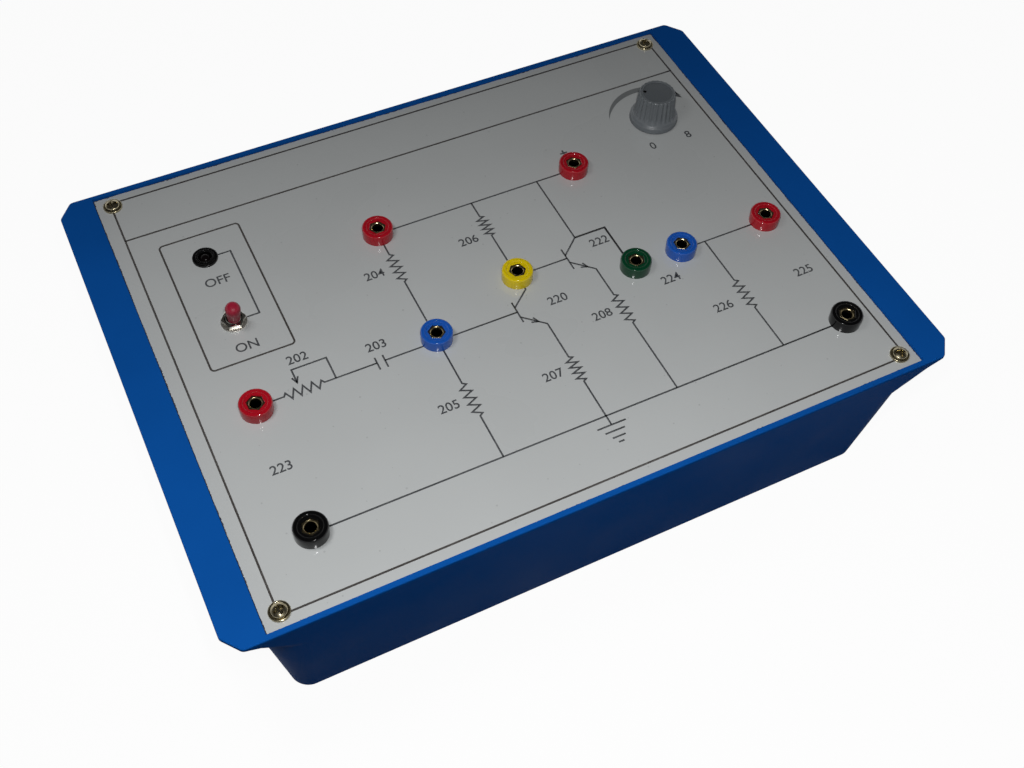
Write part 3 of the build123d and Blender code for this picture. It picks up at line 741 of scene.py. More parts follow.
def middle_of(node: str) -> Vector:
    """The middle of a CAD node's box, in millimetres."""
    low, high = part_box(node)
    return (low + high) / 2 / MM


panel_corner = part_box("front_panel")[1] / MM


def on_panel(x: float, y: float, turn: float = 0.0) -> Matrix:
    """Where a shape stands on the panel's face, in millimetres, and its turn in degrees."""
    return Matrix.Translation((x, y, panel_corner.z)) @ Matrix.Rotation(math.radians(turn), 4, "Z")


# The studio


@dataclass(frozen=True)
class Lamp:
    """A round lamp: place, aim and width in metres, power in watts, and whether mirrors show it."""

    name: str
    place: tuple[float, float, float]
    aim: tuple[float, float, float]
    size: float
    power: float
    mirrored: bool


LAMPS = (
    Lamp("sharp_lamp", (-0.112, -0.222, 0.423), (0.4, -0.284, 0.068), 0.03, 0.79, True),
    Lamp("glint_lamp", (-0.112, -0.258, 0.437), (0.4, -0.32, 0.068), 0.014, 0.75, True),
    Lamp("soft_lamp", (-0.178, -0.033, 0.42), (-0.439, -0.211, 0.068), 0.14, 0.79, False),
)


@dataclass
class Studio:
    """Floor, lamps, world and camera."""

    floor_size: float = 6.0
    floor_glow: float = 0.955
    floor_colour: Colour = (0.04, 0.04, 0.04, 1.0)
    world_fill: float = 0.01
    rear_fill: float = 0.8
    rear_from: float = -0.4
    rear_to: float = 0.3
    rear_height: float = 0.4
    wall_height: float = 0.25
    ceiling_height: float = 0.45
    ceiling_glow: float = 0.04
    lamps: tuple[Lamp, ...] = LAMPS
    camera_place: tuple[float, float, float] = (-0.138305, -0.268611, 0.426571)
    camera_aim: tuple[float, float, float] = (-0.015442, -0.046988, 0.0682)
    camera_roll: float = 3.512
    camera_lens: float = 42.994
    sensor_width: float = 36.0
    clip_start: float = 0.01

    def seen_directly(self, tree: bpy.types.NodeTree) -> Socket:
        """A mask for what the camera sees, also in a mirror and through glass.

        Args:
            tree: The node tree that it goes into.

        Returns:
            The mask's socket.
        """
        path = tree.nodes.new("ShaderNodeLightPath")
        total = path.outputs["Is Camera Ray"]
        for name in ("Is Glossy Ray", "Is Transmission Ray"):
            node = tree.nodes.new("ShaderNodeMath")
            node.use_clamp = True
            tree.links.new(total, node.inputs[0])
            tree.links.new(path.outputs[name], node.inputs[1])
            total = node.outputs[0]
        return total

    def floor(self) -> bpy.types.Object:
        """The plain floor, white where it is seen and dim where it lights the object.

        Returns:
            The floor.
        """
        material = bpy.data.materials.new("studio_floor")
        material.use_nodes = True
        tree = material.node_tree
        tree.nodes.remove(tree.nodes["Principled BSDF"])
        plain = tree.nodes.new("ShaderNodeBsdfDiffuse")
        plain.inputs["Color"].default_value = self.floor_colour
        glow = tree.nodes.new("ShaderNodeEmission")
        strength = tree.nodes.new("ShaderNodeMath")
        strength.operation = "MULTIPLY"
        strength.inputs[1].default_value = self.floor_glow
        tree.links.new(self.seen_directly(tree), strength.inputs[0])
        tree.links.new(strength.outputs[0], glow.inputs["Strength"])
        both = tree.nodes.new("ShaderNodeAddShader")
        tree.links.new(plain.outputs[0], both.inputs[0])
        tree.links.new(glow.outputs[0], both.inputs[1])
        tree.links.new(both.outputs[0], tree.nodes["Material Output"].inputs["Surface"])
        bm = bmesh.new()
        bmesh.ops.create_grid(bm, x_segments=1, y_segments=1, size=self.floor_size / 2)
        mesh = bpy.data.meshes.new("floor")
        bm.to_mesh(mesh)
        bm.free()
        mesh.materials.append(material)
        floor = bpy.data.objects.new("floor", mesh)
        bpy.context.scene.collection.objects.link(floor)
        return floor

    def fill(self, tree: bpy.types.NodeTree, split: bpy.types.Node) -> Socket:
        """The fill light's strength: even, and stronger low at the rear, where no lamp reaches.

        Args:
            tree: The world's nodes.
            split: The node that gives the direction's X, Y and Z.

        Returns:
            The strength's socket.
        """
        rear = tree.nodes.new("ShaderNodeMapRange")
        rear.inputs["From Min"].default_value = self.rear_from
        rear.inputs["From Max"].default_value = self.rear_to
        tree.links.new(split.outputs["Y"], rear.inputs["Value"])
        low = tree.nodes.new("ShaderNodeMapRange")
        low.inputs["From Max"].default_value = self.rear_height
        low.inputs["To Min"].default_value = self.rear_fill
        low.inputs["To Max"].default_value = 0.0
        tree.links.new(split.outputs["Z"], low.inputs["Value"])
        total = tree.nodes.new("ShaderNodeMath")
        total.operation = "MULTIPLY_ADD"
        tree.links.new(rear.outputs[0], total.inputs[0])
        tree.links.new(low.outputs[0], total.inputs[1])
        total.inputs[2].default_value = self.world_fill
        return total.outputs[0]

    def world(self) -> None:
        """Fill for the object, under white walls and a dim ceiling that only mirrors show."""
        world = bpy.data.worlds.new("studio_room")
        bpy.context.scene.world = world
        world.use_nodes = True
        tree = world.node_tree
        split = tree.nodes.new("ShaderNodeSeparateXYZ")
        tree.links.new(tree.nodes.new("ShaderNodeTexCoord").outputs["Generated"], split.inputs[0])
        room = tree.nodes.new("ShaderNodeMapRange")
        room.inputs["From Min"].default_value = self.wall_height
        room.inputs["From Max"].default_value = self.ceiling_height
        room.inputs["To Min"].default_value = 1.0
        room.inputs["To Max"].default_value = self.ceiling_glow
        tree.links.new(split.outputs["Z"], room.inputs["Value"])
        strength = tree.nodes.new("ShaderNodeMix")
        tree.links.new(self.fill(tree, split), strength.inputs[2])
        tree.links.new(self.seen_directly(tree), strength.inputs[0])
        tree.links.new(room.outputs[0], strength.inputs[3])
        background = tree.nodes["Background"]
        background.inputs["Color"].default_value = WHITE
        tree.links.new(strength.outputs[0], background.inputs["Strength"])

    def light(self, lamp: Lamp) -> bpy.types.Object:
        """Hangs up a lamp.

        Args:
            lamp: The lamp.

        Returns:
            Its object.
        """
        light = bpy.data.lights.new(lamp.name, "AREA")
        light.shape = "DISK"
        light.size = lamp.size
        light.energy = lamp.power
        thing = bpy.data.objects.new(lamp.name, light)
        bpy.context.scene.collection.objects.link(thing)
        thing.location = lamp.place
        aim = Vector(lamp.aim) - Vector(lamp.place)
        thing.rotation_euler = aim.to_track_quat("-Z", "Y").to_euler()
        thing.visible_glossy = lamp.mirrored
        return thing

    def camera(self) -> bpy.types.Object:
        """The camera, where the photograph was taken from.

        Returns:
            The camera.
        """
        lens = bpy.data.cameras.new("camera")
        lens.lens = self.camera_lens
        lens.sensor_width = self.sensor_width
        lens.clip_start = self.clip_start
        camera = bpy.data.objects.new("camera", lens)
        bpy.context.scene.collection.objects.link(camera)
        place = Vector(self.camera_place)
        ahead = (Vector(self.camera_aim) - place).normalized()
        level = ahead.cross(Vector((0, 0, 1))).normalized()
        roll = math.radians(self.camera_roll)
        right = level * math.cos(roll) + level.cross(ahead) * math.sin(roll)
        turned = Matrix((right, right.cross(ahead), -ahead)).transposed().to_4x4()
        camera.matrix_world = Matrix.Translation(place) @ turned
        bpy.context.scene.camera = camera
        return camera

    def build(self) -> None:
        """Sets up everything round the object."""
        self.floor()
        self.world()
        for lamp in self.lamps:
            self.light(lamp)
        self.camera()
        bpy.context.scene.view_settings.view_transform = "Standard"
        log.info("studio: floor, world, %d lamps and camera", len(self.lamps))


# Sub-assemblies


SOCKET_COLOURS = {
    "socket_head_01_red": "red",
    "socket_head_02_red": "red",
    "socket_head_03_blue": "blue",
    "socket_head_04_yellow": "yellow",
    "socket_head_05_green": "green",
    "socket_head_06_blue": "blue",
    "socket_head_07_red": "red",
    "socket_head_08_black": "black",
    "socket_head_09_black": "black",
    "socket_head_10_red": "red",
}


SOCKET_SHADES = (
    ("red", screen(176, 14, 32), 0.5),
    ("blue", screen(24, 88, 184), 0.5),
    ("yellow", screen(226, 200, 8), 0.5),
    ("green", screen(0, 62, 36), 0.5),
    ("black", screen(7, 7, 8), 0.36),
)


@dataclass
class Sockets:
    """The ten sockets for 4 mm plugs: coloured heads and their metal contacts."""

    radius: float = 6.0
    foot_radius: float = 6.04
    height: float = 4.9
    edge: float = 0.75
    foot_edge: float = 0.1
    dish_radius: float = 4.3
    dish_depth: float = 0.4
    dish_edge: float = 0.3
    dish_root_edge: float = 0.15
    seat_radius: float = 3.75
    seat_width: float = 6.15
    seat_chamfer: float = 0.12
    seat_depth: float = 2.0
    well_radius: float = 2.85
    spigot_radius: float = 3.95
    spigot_length: float = 11.0
    steps: int = 72
    edge_segments: int = 5
    contact_width: float = 5.85
    contact_sink: float = 0.62
    contact_edge: float = 0.22
    contact_hex_length: float = 2.3
    mouth_radius: float = 2.1
    mouth_flare: float = 0.36
    mouth_depth: float = 0.3
    mouth_edge: float = 0.05
    mouth_segments: int = 2
    bore_depth: float = 14.6
    tube_radius: float = 2.75
    tube_tail: float = 7.0
    turn_step: float = 17.0

    def head(self) -> bpy.types.Mesh:
        """A socket's coloured head: a ring with a dished top and a hexagonal seat.

        Returns:
            Its mesh.
        """
        form = Form()
        dish = self.height - self.dish_depth
        seat = Ring(self.seat_radius, dish)
        tail = Ring(self.well_radius, -self.spigot_length)
        form.turn([
            seat,
            Ring(self.dish_radius, dish, self.dish_root_edge),
            Ring(self.dish_radius, self.height, self.dish_edge),
            Ring(self.radius, self.height, self.edge),
            Ring(self.foot_radius, 0.0, self.foot_edge),
            Ring(self.spigot_radius, 0.0),
            Ring(self.spigot_radius, -self.spigot_length),
            tail,
        ], steps=self.steps, segments=self.edge_segments, closed=False)
        narrow = self.seat_width - 2 * self.seat_chamfer
        floor = dish - self.seat_depth
        form.bridge([
            form.on_ring(seat),
            form.hexagon(self.seat_width, dish, self.steps),
            form.hexagon(narrow, dish - self.seat_chamfer, self.steps),
            form.hexagon(narrow, floor, self.steps),
            form.circle(self.well_radius, floor, self.steps),
            form.on_ring(tail),
        ])
        form.close()
        return form.mesh("socket_head")

    def contact(self) -> bpy.types.Mesh:
        """A socket's metal contact: a hexagonal bush with a chamfered bore, on its tube.

        Returns:
            Its mesh.
        """
        form = Form()
        top = self.height - self.contact_sink
        root = top - self.contact_hex_length
        tail = -self.spigot_length - self.tube_tail
        mouth = Ring(self.mouth_radius + self.mouth_flare, top, self.mouth_edge)
        throat = Ring(self.mouth_radius, top - self.mouth_depth, self.mouth_edge)
        last = form.circle(self.tube_radius, tail, self.steps)
        deep = form.circle(self.mouth_radius, top - self.bore_depth, self.steps)
        form.bridge([
            last,
            form.circle(self.tube_radius, root, self.steps),
            form.hexagon(self.contact_width, root, self.steps),
            form.hexagon(self.contact_width, top - self.contact_edge, self.steps),
            form.hexagon(self.contact_width - 2 * self.contact_edge, top, self.steps),
            form.circle(mouth.radius, mouth.height, self.steps),
            form.circle(throat.radius, throat.height, self.steps),
            deep,
        ])
        for loop in (last, deep):
            bmesh.ops.contextual_create(form.bm, geom=loop)
        form.close()
        for ring in (mouth, throat):
            form.round_off(form.on_ring(ring), ring.soft, self.mouth_segments)
        return form.mesh("socket_contact")

    def build(self, colours: dict[str, bpy.types.Material], metal: bpy.types.Material) -> None:
        """Builds the heads and the contacts.

        Args:
            colours: The heads' materials by colour.
            metal: The contacts' material, a browner nickel that is also darkened as painted shade for
                the dim room it reflects.
        """
        head, contact = self.head(), self.contact()
        contacts = Form()
        for place, (node, colour) in enumerate(SOCKET_COLOURS.items()):
            middle = middle_of(node)
            stand = on_panel(middle.x, middle.y, self.turn_step * place)
            form = Form()
            form.add(head, stand)
            contacts.add(contact, stand)
            name = node.replace("socket_head", "socket")
            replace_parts(form.piece(name, colours[colour], f"socket_{colour}"), node)
        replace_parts(contacts.piece("socket_bushes", metal, "nickel"), "socket_contacts")


@dataclass
class PanelScrews:
    """The four domed screws that hold the panel, with cross recesses."""

    inset_x: float = 6.3
    inset_y: float = 5.8
    head_radius: float = 3.75
    head_height: float = 2.3
    crown_radius: float = 1.6
    crown_drop: float = 0.16
    crown_edge: float = 0.5
    shoulder_radius: float = 2.75
    shoulder_drop: float = 0.8
    shoulder_edge: float = 0.2
    flange_height: float = 0.95
    flange_radius: float = 3.15
    flange_edge: float = 0.08
    groove_width: float = 0.12
    groove_depth: float = 0.25
    rim_drop: float = 0.15
    rim_edge: float = 0.28
    rim_undercut: float = 0.12
    shank_radius: float = 1.75
    length: float = 12.0
    point_length: float = 0.9
    steps: int = 48
    crease: float = 28.0
    blade_rise: float = 1.0
    wing_reach: float = 3.0
    wing_half_width: float = 0.7
    recess_depth: float = 1.5
    recess_taper: float = 0.42
    core_radius: float = 1.0
    core_taper: float = 0.8
    turns: tuple[float, ...] = (12.0, 64.0, 33.0, 81.0)

    def blade(self) -> bpy.types.Mesh:
        """The cross shape of the driver, tapered to its point.

        Returns:
            Its mesh.
        """
        form = Form()
        bmesh.ops.create_grid(form.bm, x_segments=3, y_segments=3, size=self.wing_reach)
        for vert in form.bm.verts:
            for axis in (0, 1):
                if abs(vert.co[axis]) < self.wing_reach - TINY:
                    vert.co[axis] = math.copysign(self.wing_half_width, vert.co[axis])
        corners = [face for face in form.bm.faces
                   if min(abs(c) for c in face.calc_center_median()[:2]) > self.wing_half_width]
        bmesh.ops.delete(form.bm, geom=corners, context="FACES")
        upper = self.head_height + self.blade_rise
        form.place(Matrix.Translation((0, 0, upper)))
        made = bmesh.ops.extrude_face_region(form.bm, geom=form.bm.faces[:])
        form.raise_up(made, -self.blade_rise - self.recess_depth)
        for vert in form.bm.verts:
            if vert.co.z < upper - TINY:
                outer = math.hypot(vert.co.x, vert.co.y) > self.core_radius
                vert.co.xy *= self.recess_taper if outer else self.core_taper
        form.close()
        return form.mesh("driver_cross")

    def build(self, metal: bpy.types.Material) -> None:
        """Builds the screws.

        Args:
            metal: Their material.
        """
        form = Form()
        form.turn([
            Ring(0.0, self.head_height),
            Ring(self.crown_radius, self.head_height - self.crown_drop, self.crown_edge),
            Ring(self.shoulder_radius, self.head_height - self.shoulder_drop, self.shoulder_edge),
            Ring(self.shoulder_radius + self.groove_width, self.flange_height - self.groove_depth),
            Ring(self.flange_radius, self.flange_height, self.flange_edge),
            Ring(self.head_radius, self.flange_height - self.rim_drop, self.rim_edge),
            Ring(self.head_radius - self.rim_undercut, 0.0),
            Ring(self.shank_radius, 0.0),
            Ring(self.shank_radius, self.point_length - self.length),
            Ring(0.0, -self.length),
        ], steps=self.steps)
        screw = cut(form.mesh("screw"), self.blade())
        screws = Form()
        for turn, (side_x, side_y) in zip(self.turns, CORNERS):
            x = side_x * (panel_corner.x - self.inset_x)
            y = side_y * (panel_corner.y - self.inset_y)
            screws.add(screw, on_panel(x, y, turn))
        piece = screws.piece("panel_screw_set", metal, "nickel", crease=self.crease)
        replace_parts(piece, "panel_screws")


@dataclass
class Indicator:
    """The indicator's stepped black holder."""

    radius: float = 4.9
    height: float = 0.9
    edge: float = 0.4
    step_radius: float = 3.5
    step_height: float = 1.3
    step_edge: float = 0.12
    step_draft: float = 0.06
    groove_radius: float = 4.1
    groove_half_width: float = 0.14
    groove_depth: float = 0.2
    bore_radius: float = 2.5
    bore_drop: float = 0.55
    ledge_drop: float = 0.5
    ledge_width: float = 0.3
    mouth_flare: float = 0.42
    mouth_edge: float = 0.08
    steps: int = 72
    barrel_radius: float = 3.9
    barrel_length: float = 9.0
    barrel_bore: float = 2.95
    shelf: float = -1.2

    def build(self, plastic: bpy.types.Material) -> None:
        """Builds the holder.

        Args:
            plastic: Its material.
        """
        ledge = self.step_height - self.ledge_drop
        form = Form()
        form.turn([
            Ring(self.bore_radius, self.step_height - self.bore_drop),
            Ring(self.bore_radius + self.ledge_width, ledge, self.mouth_edge),
            Ring(self.bore_radius + self.mouth_flare, self.step_height, self.mouth_edge),
            Ring(self.step_radius, self.step_height, self.step_edge),
            Ring(self.step_radius + self.step_draft, self.height),
            Ring(self.groove_radius - self.groove_half_width, self.height),
            Ring(self.groove_radius, self.height - self.groove_depth),
            Ring(self.groove_radius + self.groove_half_width, self.height),
            Ring(self.radius, self.height, self.edge),
            Ring(self.radius, 0.0),
            Ring(self.barrel_radius, 0.0),
            Ring(self.barrel_radius, -self.barrel_length),
            Ring(self.barrel_bore, -self.barrel_length),
            Ring(self.barrel_bore, self.shelf),
            Ring(self.bore_radius, self.shelf),
        ], steps=self.steps)
        middle = middle_of("indicator_holder")
        form.place(on_panel(middle.x, middle.y))
        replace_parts(form.piece("indicator_bezel", plastic, "black_plastic"), "indicator_holder")


@dataclass
class Toggle:
    """The mains toggle's washer, nut, threaded bushing and sleeved lever.

    The sleeve's tip is given as rings: inset from its widest radius, drop from its end and
    rounding. Its waist is given as widening over the root, rise above it and rounding.
    """

    tilt: float = 17.0
    pivot_depth: float = 1.0
    washer_radius: float = 5.0
    washer_thickness: float = 0.5
    washer_clearance: float = 0.1
    washer_inner_edge: float = 0.1
    washer_outer_edge: float = 0.18
    nut_width: float = 8.0
    nut_height: float = 2.0
    nut_turn: float = 22.0
    nut_edge: float = 0.12
    nut_edge_segments: int = 2
    nut_sharp_angle: float = 30.0
    countersink: float = 0.35
    crown_inset: float = 0.1
    crown_reach: float = 1.4
    crown_drop: float = 0.75
    cut_rise: float = 1.0
    crease: float = 30.0
    bushing_radius: float = 3.0
    bushing_steps: int = 56
    bushing_top: float = 2.7
    bushing_bottom: float = -6.3
    bushing_bore: float = 2.06
    thread_pitch: float = 0.5
    thread_depth: float = 0.18
    thread_drop: float = 0.35
    mouth_radius: float = 2.45
    mouth_floor: float = 0.6
    mouth_edge: float = 0.06
    rim_inset: float = 0.25
    rim_edge: float = 0.05
    sleeve_root: float = 5.0
    sleeve_length: float = 16.0
    sleeve_root_radius: float = 2.25
    sleeve_tip_radius: float = 2.85
    sleeve_bore: float = 1.2
    sleeve_floor: float = 13.45
    sleeve_tip: tuple[tuple[float, float, float], ...] = (
        (1.6, 0.0, 0.7), (0.55, 0.75, 0.6), (0.0, 2.2, 0.7), (0.15, 4.6, 0.6),
    )
    sleeve_waist: tuple[float, float, float] = (0.12, 3.0, 0.5)
    sleeve_root_edge: float = 0.35
    sleeve_steps: int = 48

    def washer(self) -> Form:
        """The flat washer with its rounded rim.

        Returns:
            The washer.
        """
        hole = self.bushing_radius + self.washer_clearance
        form = Form()
        form.turn([
            Ring(hole, 0.0),
            Ring(hole, self.washer_thickness, self.washer_inner_edge),
            Ring(self.washer_radius, self.washer_thickness, self.washer_outer_edge),
            Ring(self.washer_radius, 0.0),
        ])
        return form

    def nut(self) -> Form:
        """The hexagonal nut, its crown turned down at the corners.

        Returns:
            The nut.
        """
        top = self.washer_thickness + self.nut_height
        whole = Form()
        radius = self.nut_width / math.sqrt(3)
        middle = Matrix.Translation((0, 0, self.washer_thickness + self.nut_height / 2))
        bmesh.ops.create_cone(whole.bm, cap_ends=True, segments=6, radius1=radius, radius2=radius,
                              depth=self.nut_height, matrix=middle)
        whole.round_off(whole.sharp_edges(self.nut_sharp_angle), self.nut_edge, self.nut_edge_segments)
        hole = Form()
        hole.turn([
            Ring(0.0, top + self.cut_rise),
            Ring(self.bushing_radius + self.cut_rise + self.countersink, top + self.cut_rise),
            Ring(self.bushing_radius, top - self.countersink),
            Ring(self.bushing_radius, -self.cut_rise),
            Ring(0.0, -self.cut_rise),
        ])
        inner = self.nut_width / 2 - self.crown_inset
        outer = self.nut_width / 2 + self.crown_reach
        crown = Form()
        crown.turn([
            Ring(inner, top + self.cut_rise),
            Ring(inner, top),
            Ring(outer, top - self.crown_drop),
            Ring(outer, top + self.cut_rise),
        ])
        mesh = cut(cut(whole.mesh("nut"), hole.mesh("hole")), crown.mesh("crown"))
        form = Form()
        form.add(mesh, Matrix.Rotation(math.radians(self.nut_turn), 4, "Z"))
        return form

    def bushing(self) -> Form:
        """The bushing, with the ridges of its thread and an open mouth.

        Returns:
            The bushing.
        """
        ridges = []
        height = self.bushing_top - self.thread_drop
        while height - self.thread_pitch > self.bushing_bottom:
            ridges.append(Ring(self.bushing_radius, height))
            ridges.append(Ring(self.bushing_radius - self.thread_depth, height - self.thread_pitch / 2))
            height -= self.thread_pitch
        form = Form()
        form.turn([
            Ring(self.mouth_radius, self.bushing_top, self.mouth_edge),
            Ring(self.bushing_radius - self.rim_inset, self.bushing_top, self.rim_edge),
            *ridges,
            Ring(self.bushing_radius, self.bushing_bottom),
            Ring(self.bushing_bore, self.bushing_bottom),
            Ring(self.bushing_bore, -self.pivot_depth),
            Ring(self.mouth_radius, self.mouth_floor),
        ], steps=self.bushing_steps)
        return form

    def sleeve(self) -> Form:
        """The soft sleeve, wider at its rounded tip.

        Returns:
            The sleeve.
        """
        widening, rise, waist_edge = self.sleeve_waist
        form = Form()
        form.turn([
            Ring(0.0, self.sleeve_length),
            *(Ring(self.sleeve_tip_radius - inset, self.sleeve_length - drop, edge)
              for inset, drop, edge in self.sleeve_tip),
            Ring(self.sleeve_root_radius + widening, self.sleeve_root + rise, waist_edge),
            Ring(self.sleeve_root_radius, self.sleeve_root, self.sleeve_root_edge),
            Ring(self.sleeve_bore, self.sleeve_root),
            Ring(self.sleeve_bore, self.sleeve_floor),
            Ring(0.0, self.sleeve_floor),
        ], steps=self.sleeve_steps)
        return form

    def build(self, chrome: bpy.types.Material, nickel: bpy.types.Material,
              pale: bpy.types.Material, rubber: bpy.types.Material) -> None:
        """Builds the pieces that show.

        Args:
            chrome: Material of the bushing, a darker copy of chrome with painted shade for the dim room
                it reflects.
            nickel: Material of the nut.
            pale: Material of the washer, a lighter copy of nickel with painted light in its colour.
            rubber: Material of the sleeve.
        """
        middle = middle_of("switch_washer")
        stand = on_panel(middle.x, middle.y)
        for form, name, node, finish, slot in (
            (self.washer(), "toggle_washer", "switch_washer", pale, "nickel"),
            (self.nut(), "toggle_nut", "switch_nut", nickel, "nickel"),
            (self.bushing(), "toggle_bushing", "switch_bushing", chrome, "chrome"),
        ):
            form.place(stand)
            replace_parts(form.piece(name, finish, slot, crease=self.crease), node)
        form = self.sleeve()
        pivot = Matrix.Translation((0, 0, -self.pivot_depth))
        form.place(stand @ pivot @ Matrix.Rotation(math.radians(self.tilt), 4, "X"))
        piece = form.piece("toggle_sleeve", rubber, "red_sleeve", Body.TOGGLE)
        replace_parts(piece, "switch_sleeve")


@dataclass
class Knob:
    """The fluted knob with its flared skirt and sunk cap."""

    lift: float = 0.6
    height: float = 14.1
    skirt_radius: float = 10.3
    skirt_height: float = 2.3
    skirt_slope: float = 0.25
    skirt_drop: float = 0.1
    skirt_edge: float = 0.25
    skirt_foot: float = 0.25
    skirt_foot_edge: float = 0.2
    skirt_undercut: float = 0.15
    flare_reach: float = 0.45
    flare_rise: float = 0.75
    flare_edge: float = 0.4
    grip_root_radius: float = 8.5
    grip_top_radius: float = 7.65
    grip_low: float = 2.2
    grip_high: float = 10.4
    grip_levels: int = 6
    crown_edge: float = 0.55
    crown_fade: float = 0.7
    crown_share: float = 0.3
    flute_count: int = 24
    flute_depth: float = 0.5
    flute_start: float = 1.2
    flute_fade: float = 1.6
    cap_radius: float = 6.3
    cap_sink: float = 0.3
    cap_draft: float = 0.1
    cap_rim_edge: float = 0.12
    hollow_radius: float = 7.2
    hollow_top: float = 7.0
    shaft_radius: float = 3.02
    shaft_top: float = 12.65
    hollow_margin: float = 0.05
    cap_gap: float = 0.06
    cap_thickness: float = 0.12
    cap_edge: float = 0.08
    cap_steps: int = 96
    dimple_radius: float = 0.72
    dimple_place: float = 5.3
    mark_share: float = 0.98
    mark_thickness: float = 0.1
    mark_sink: float = 0.02
    mark_steps: int = 32
    pointer_angle: float = 150.0
    steps: int = 240

    def flute(self, form: Form) -> None:
        """Presses the flutes into the grip, fading into the flare and under the crown.

        Args:
            form: The turned knob.
        """
        low, high = self.lift + self.skirt_height + self.flute_start, self.lift + self.height
        for vert in form.bm.verts:
            radius = math.hypot(vert.co.x, vert.co.y)
            if radius < self.hollow_radius + self.hollow_margin or vert.co.z < low:
                continue
            angle = math.atan2(vert.co.y, vert.co.x)
            wave = 0.5 - 0.5 * math.cos(angle * self.flute_count)
            rise = min(1.0, (vert.co.z - low) / self.flute_fade)
            crown = min(1.0, (high - vert.co.z) / self.crown_fade + self.crown_share)
            pressed = self.flute_depth * wave * rise * crown
            vert.co.xy *= (radius - pressed) / radius

    def grip(self) -> list[Ring]:
        """The grip's tapered wall, in levels that the flutes can bend.

        Returns:
            Its rings from below.
        """
        flare = self.lift + self.skirt_height
        rise = self.grip_high - self.grip_low
        run = self.height - self.skirt_height - self.grip_low
        lean = (self.grip_root_radius - self.grip_top_radius) / run
        levels = [self.grip_low + step * rise / self.grip_levels for step in range(self.grip_levels + 1)]
        return [Ring(self.grip_root_radius - lean * (h - self.grip_low), flare + h) for h in levels]

    def shell(self, floor: float) -> Form:
        """The knob without its dimple.

        Args:
            floor: Height of the sunk cap's floor.

        Returns:
            The knob.
        """
        top = self.lift + self.height
        flare = self.lift + self.skirt_height
        form = Form()
        form.turn([
            Ring(0.0, floor),
            Ring(self.cap_radius - self.cap_draft, floor),
            Ring(self.cap_radius, top, self.cap_rim_edge),
            Ring(self.grip_top_radius, top, self.crown_edge),
            *reversed(self.grip()),
            Ring(self.grip_root_radius + self.flare_reach, flare + self.flare_rise, self.flare_edge),
            Ring(self.skirt_radius - self.skirt_slope, flare - self.skirt_drop, self.skirt_edge),
            Ring(self.skirt_radius, self.lift + self.skirt_foot, self.skirt_foot_edge),
            Ring(self.skirt_radius - self.skirt_undercut, self.lift),
            Ring(self.hollow_radius, self.lift),
            Ring(self.hollow_radius, self.hollow_top),
            Ring(self.shaft_radius, self.hollow_top),
            Ring(self.shaft_radius, self.shaft_top),
            Ring(0.0, self.shaft_top),
        ], steps=self.steps)
        self.flute(form)
        form.close()
        return form

    def insert(self, floor: float) -> Form:
        """The thin insert in the sunk cap, without its dimple.

        Args:
            floor: Height of the sunk cap's floor.

        Returns:
            The insert.
        """
        radius = self.cap_radius - self.cap_gap
        form = Form()
        form.turn([
            Ring(0.0, floor + self.cap_thickness),
            Ring(radius, floor + self.cap_thickness, self.cap_edge),
            Ring(radius, floor - self.cap_thickness),
            Ring(0.0, floor - self.cap_thickness),
        ], steps=self.cap_steps)
        return form

    def build(self, plastic: bpy.types.Material, cap: bpy.types.Material,
              mark: bpy.types.Material) -> None:
        """Builds the knob, the insert in its cap and its pointer mark.

        Args:
            plastic: The knob's material.
            cap: The insert's material, a darker copy of the knob's grey: painted shade standing in for
                the sheen that the grip catches.
            mark: The mark's material.
        """
        floor = self.lift + self.height - self.cap_sink
        angle = math.radians(self.pointer_angle)
        across, back = self.dimple_place * math.cos(angle), self.dimple_place * math.sin(angle)
        ball = Form()
        bmesh.ops.create_icosphere(ball.bm, subdivisions=3, radius=self.dimple_radius,
                                   matrix=Matrix.Translation((across, back, floor)))
        dimple = ball.mesh("dimple")
        middle = middle_of("control_washer")
        stand = on_panel(middle.x, middle.y)
        knob = Form()
        knob.add(cut(self.shell(floor).mesh("knob"), dimple), stand)
        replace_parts(knob.piece("dial_knob", plastic, "knob_grey", Body.KNOB), "control_knob")
        insert = Form()
        insert.add(cut(self.insert(floor).mesh("cap"), dimple), stand)
        insert.piece("dial_cap", cap, "knob_grey", Body.KNOB)
        dot = Form()
        radius = self.dimple_radius * self.mark_share
        place = Matrix.Translation((across, back, floor - self.mark_sink))
        bmesh.ops.create_cone(dot.bm, cap_ends=True, segments=self.mark_steps, radius1=radius,
                              radius2=radius, depth=self.mark_thickness, matrix=stand @ place)
        dot.piece("dial_mark", mark, "black_plastic", Body.KNOB)


@dataclass
class Stroke:
    """A printed line through points on the panel, in millimetres."""

    points: list[Point]
    closed: bool = False


@dataclass
class Label:
    """Printed letters or figures, centred on a point of the panel."""

    words: str
    x: float
    y: float
    cap: float = 3.7


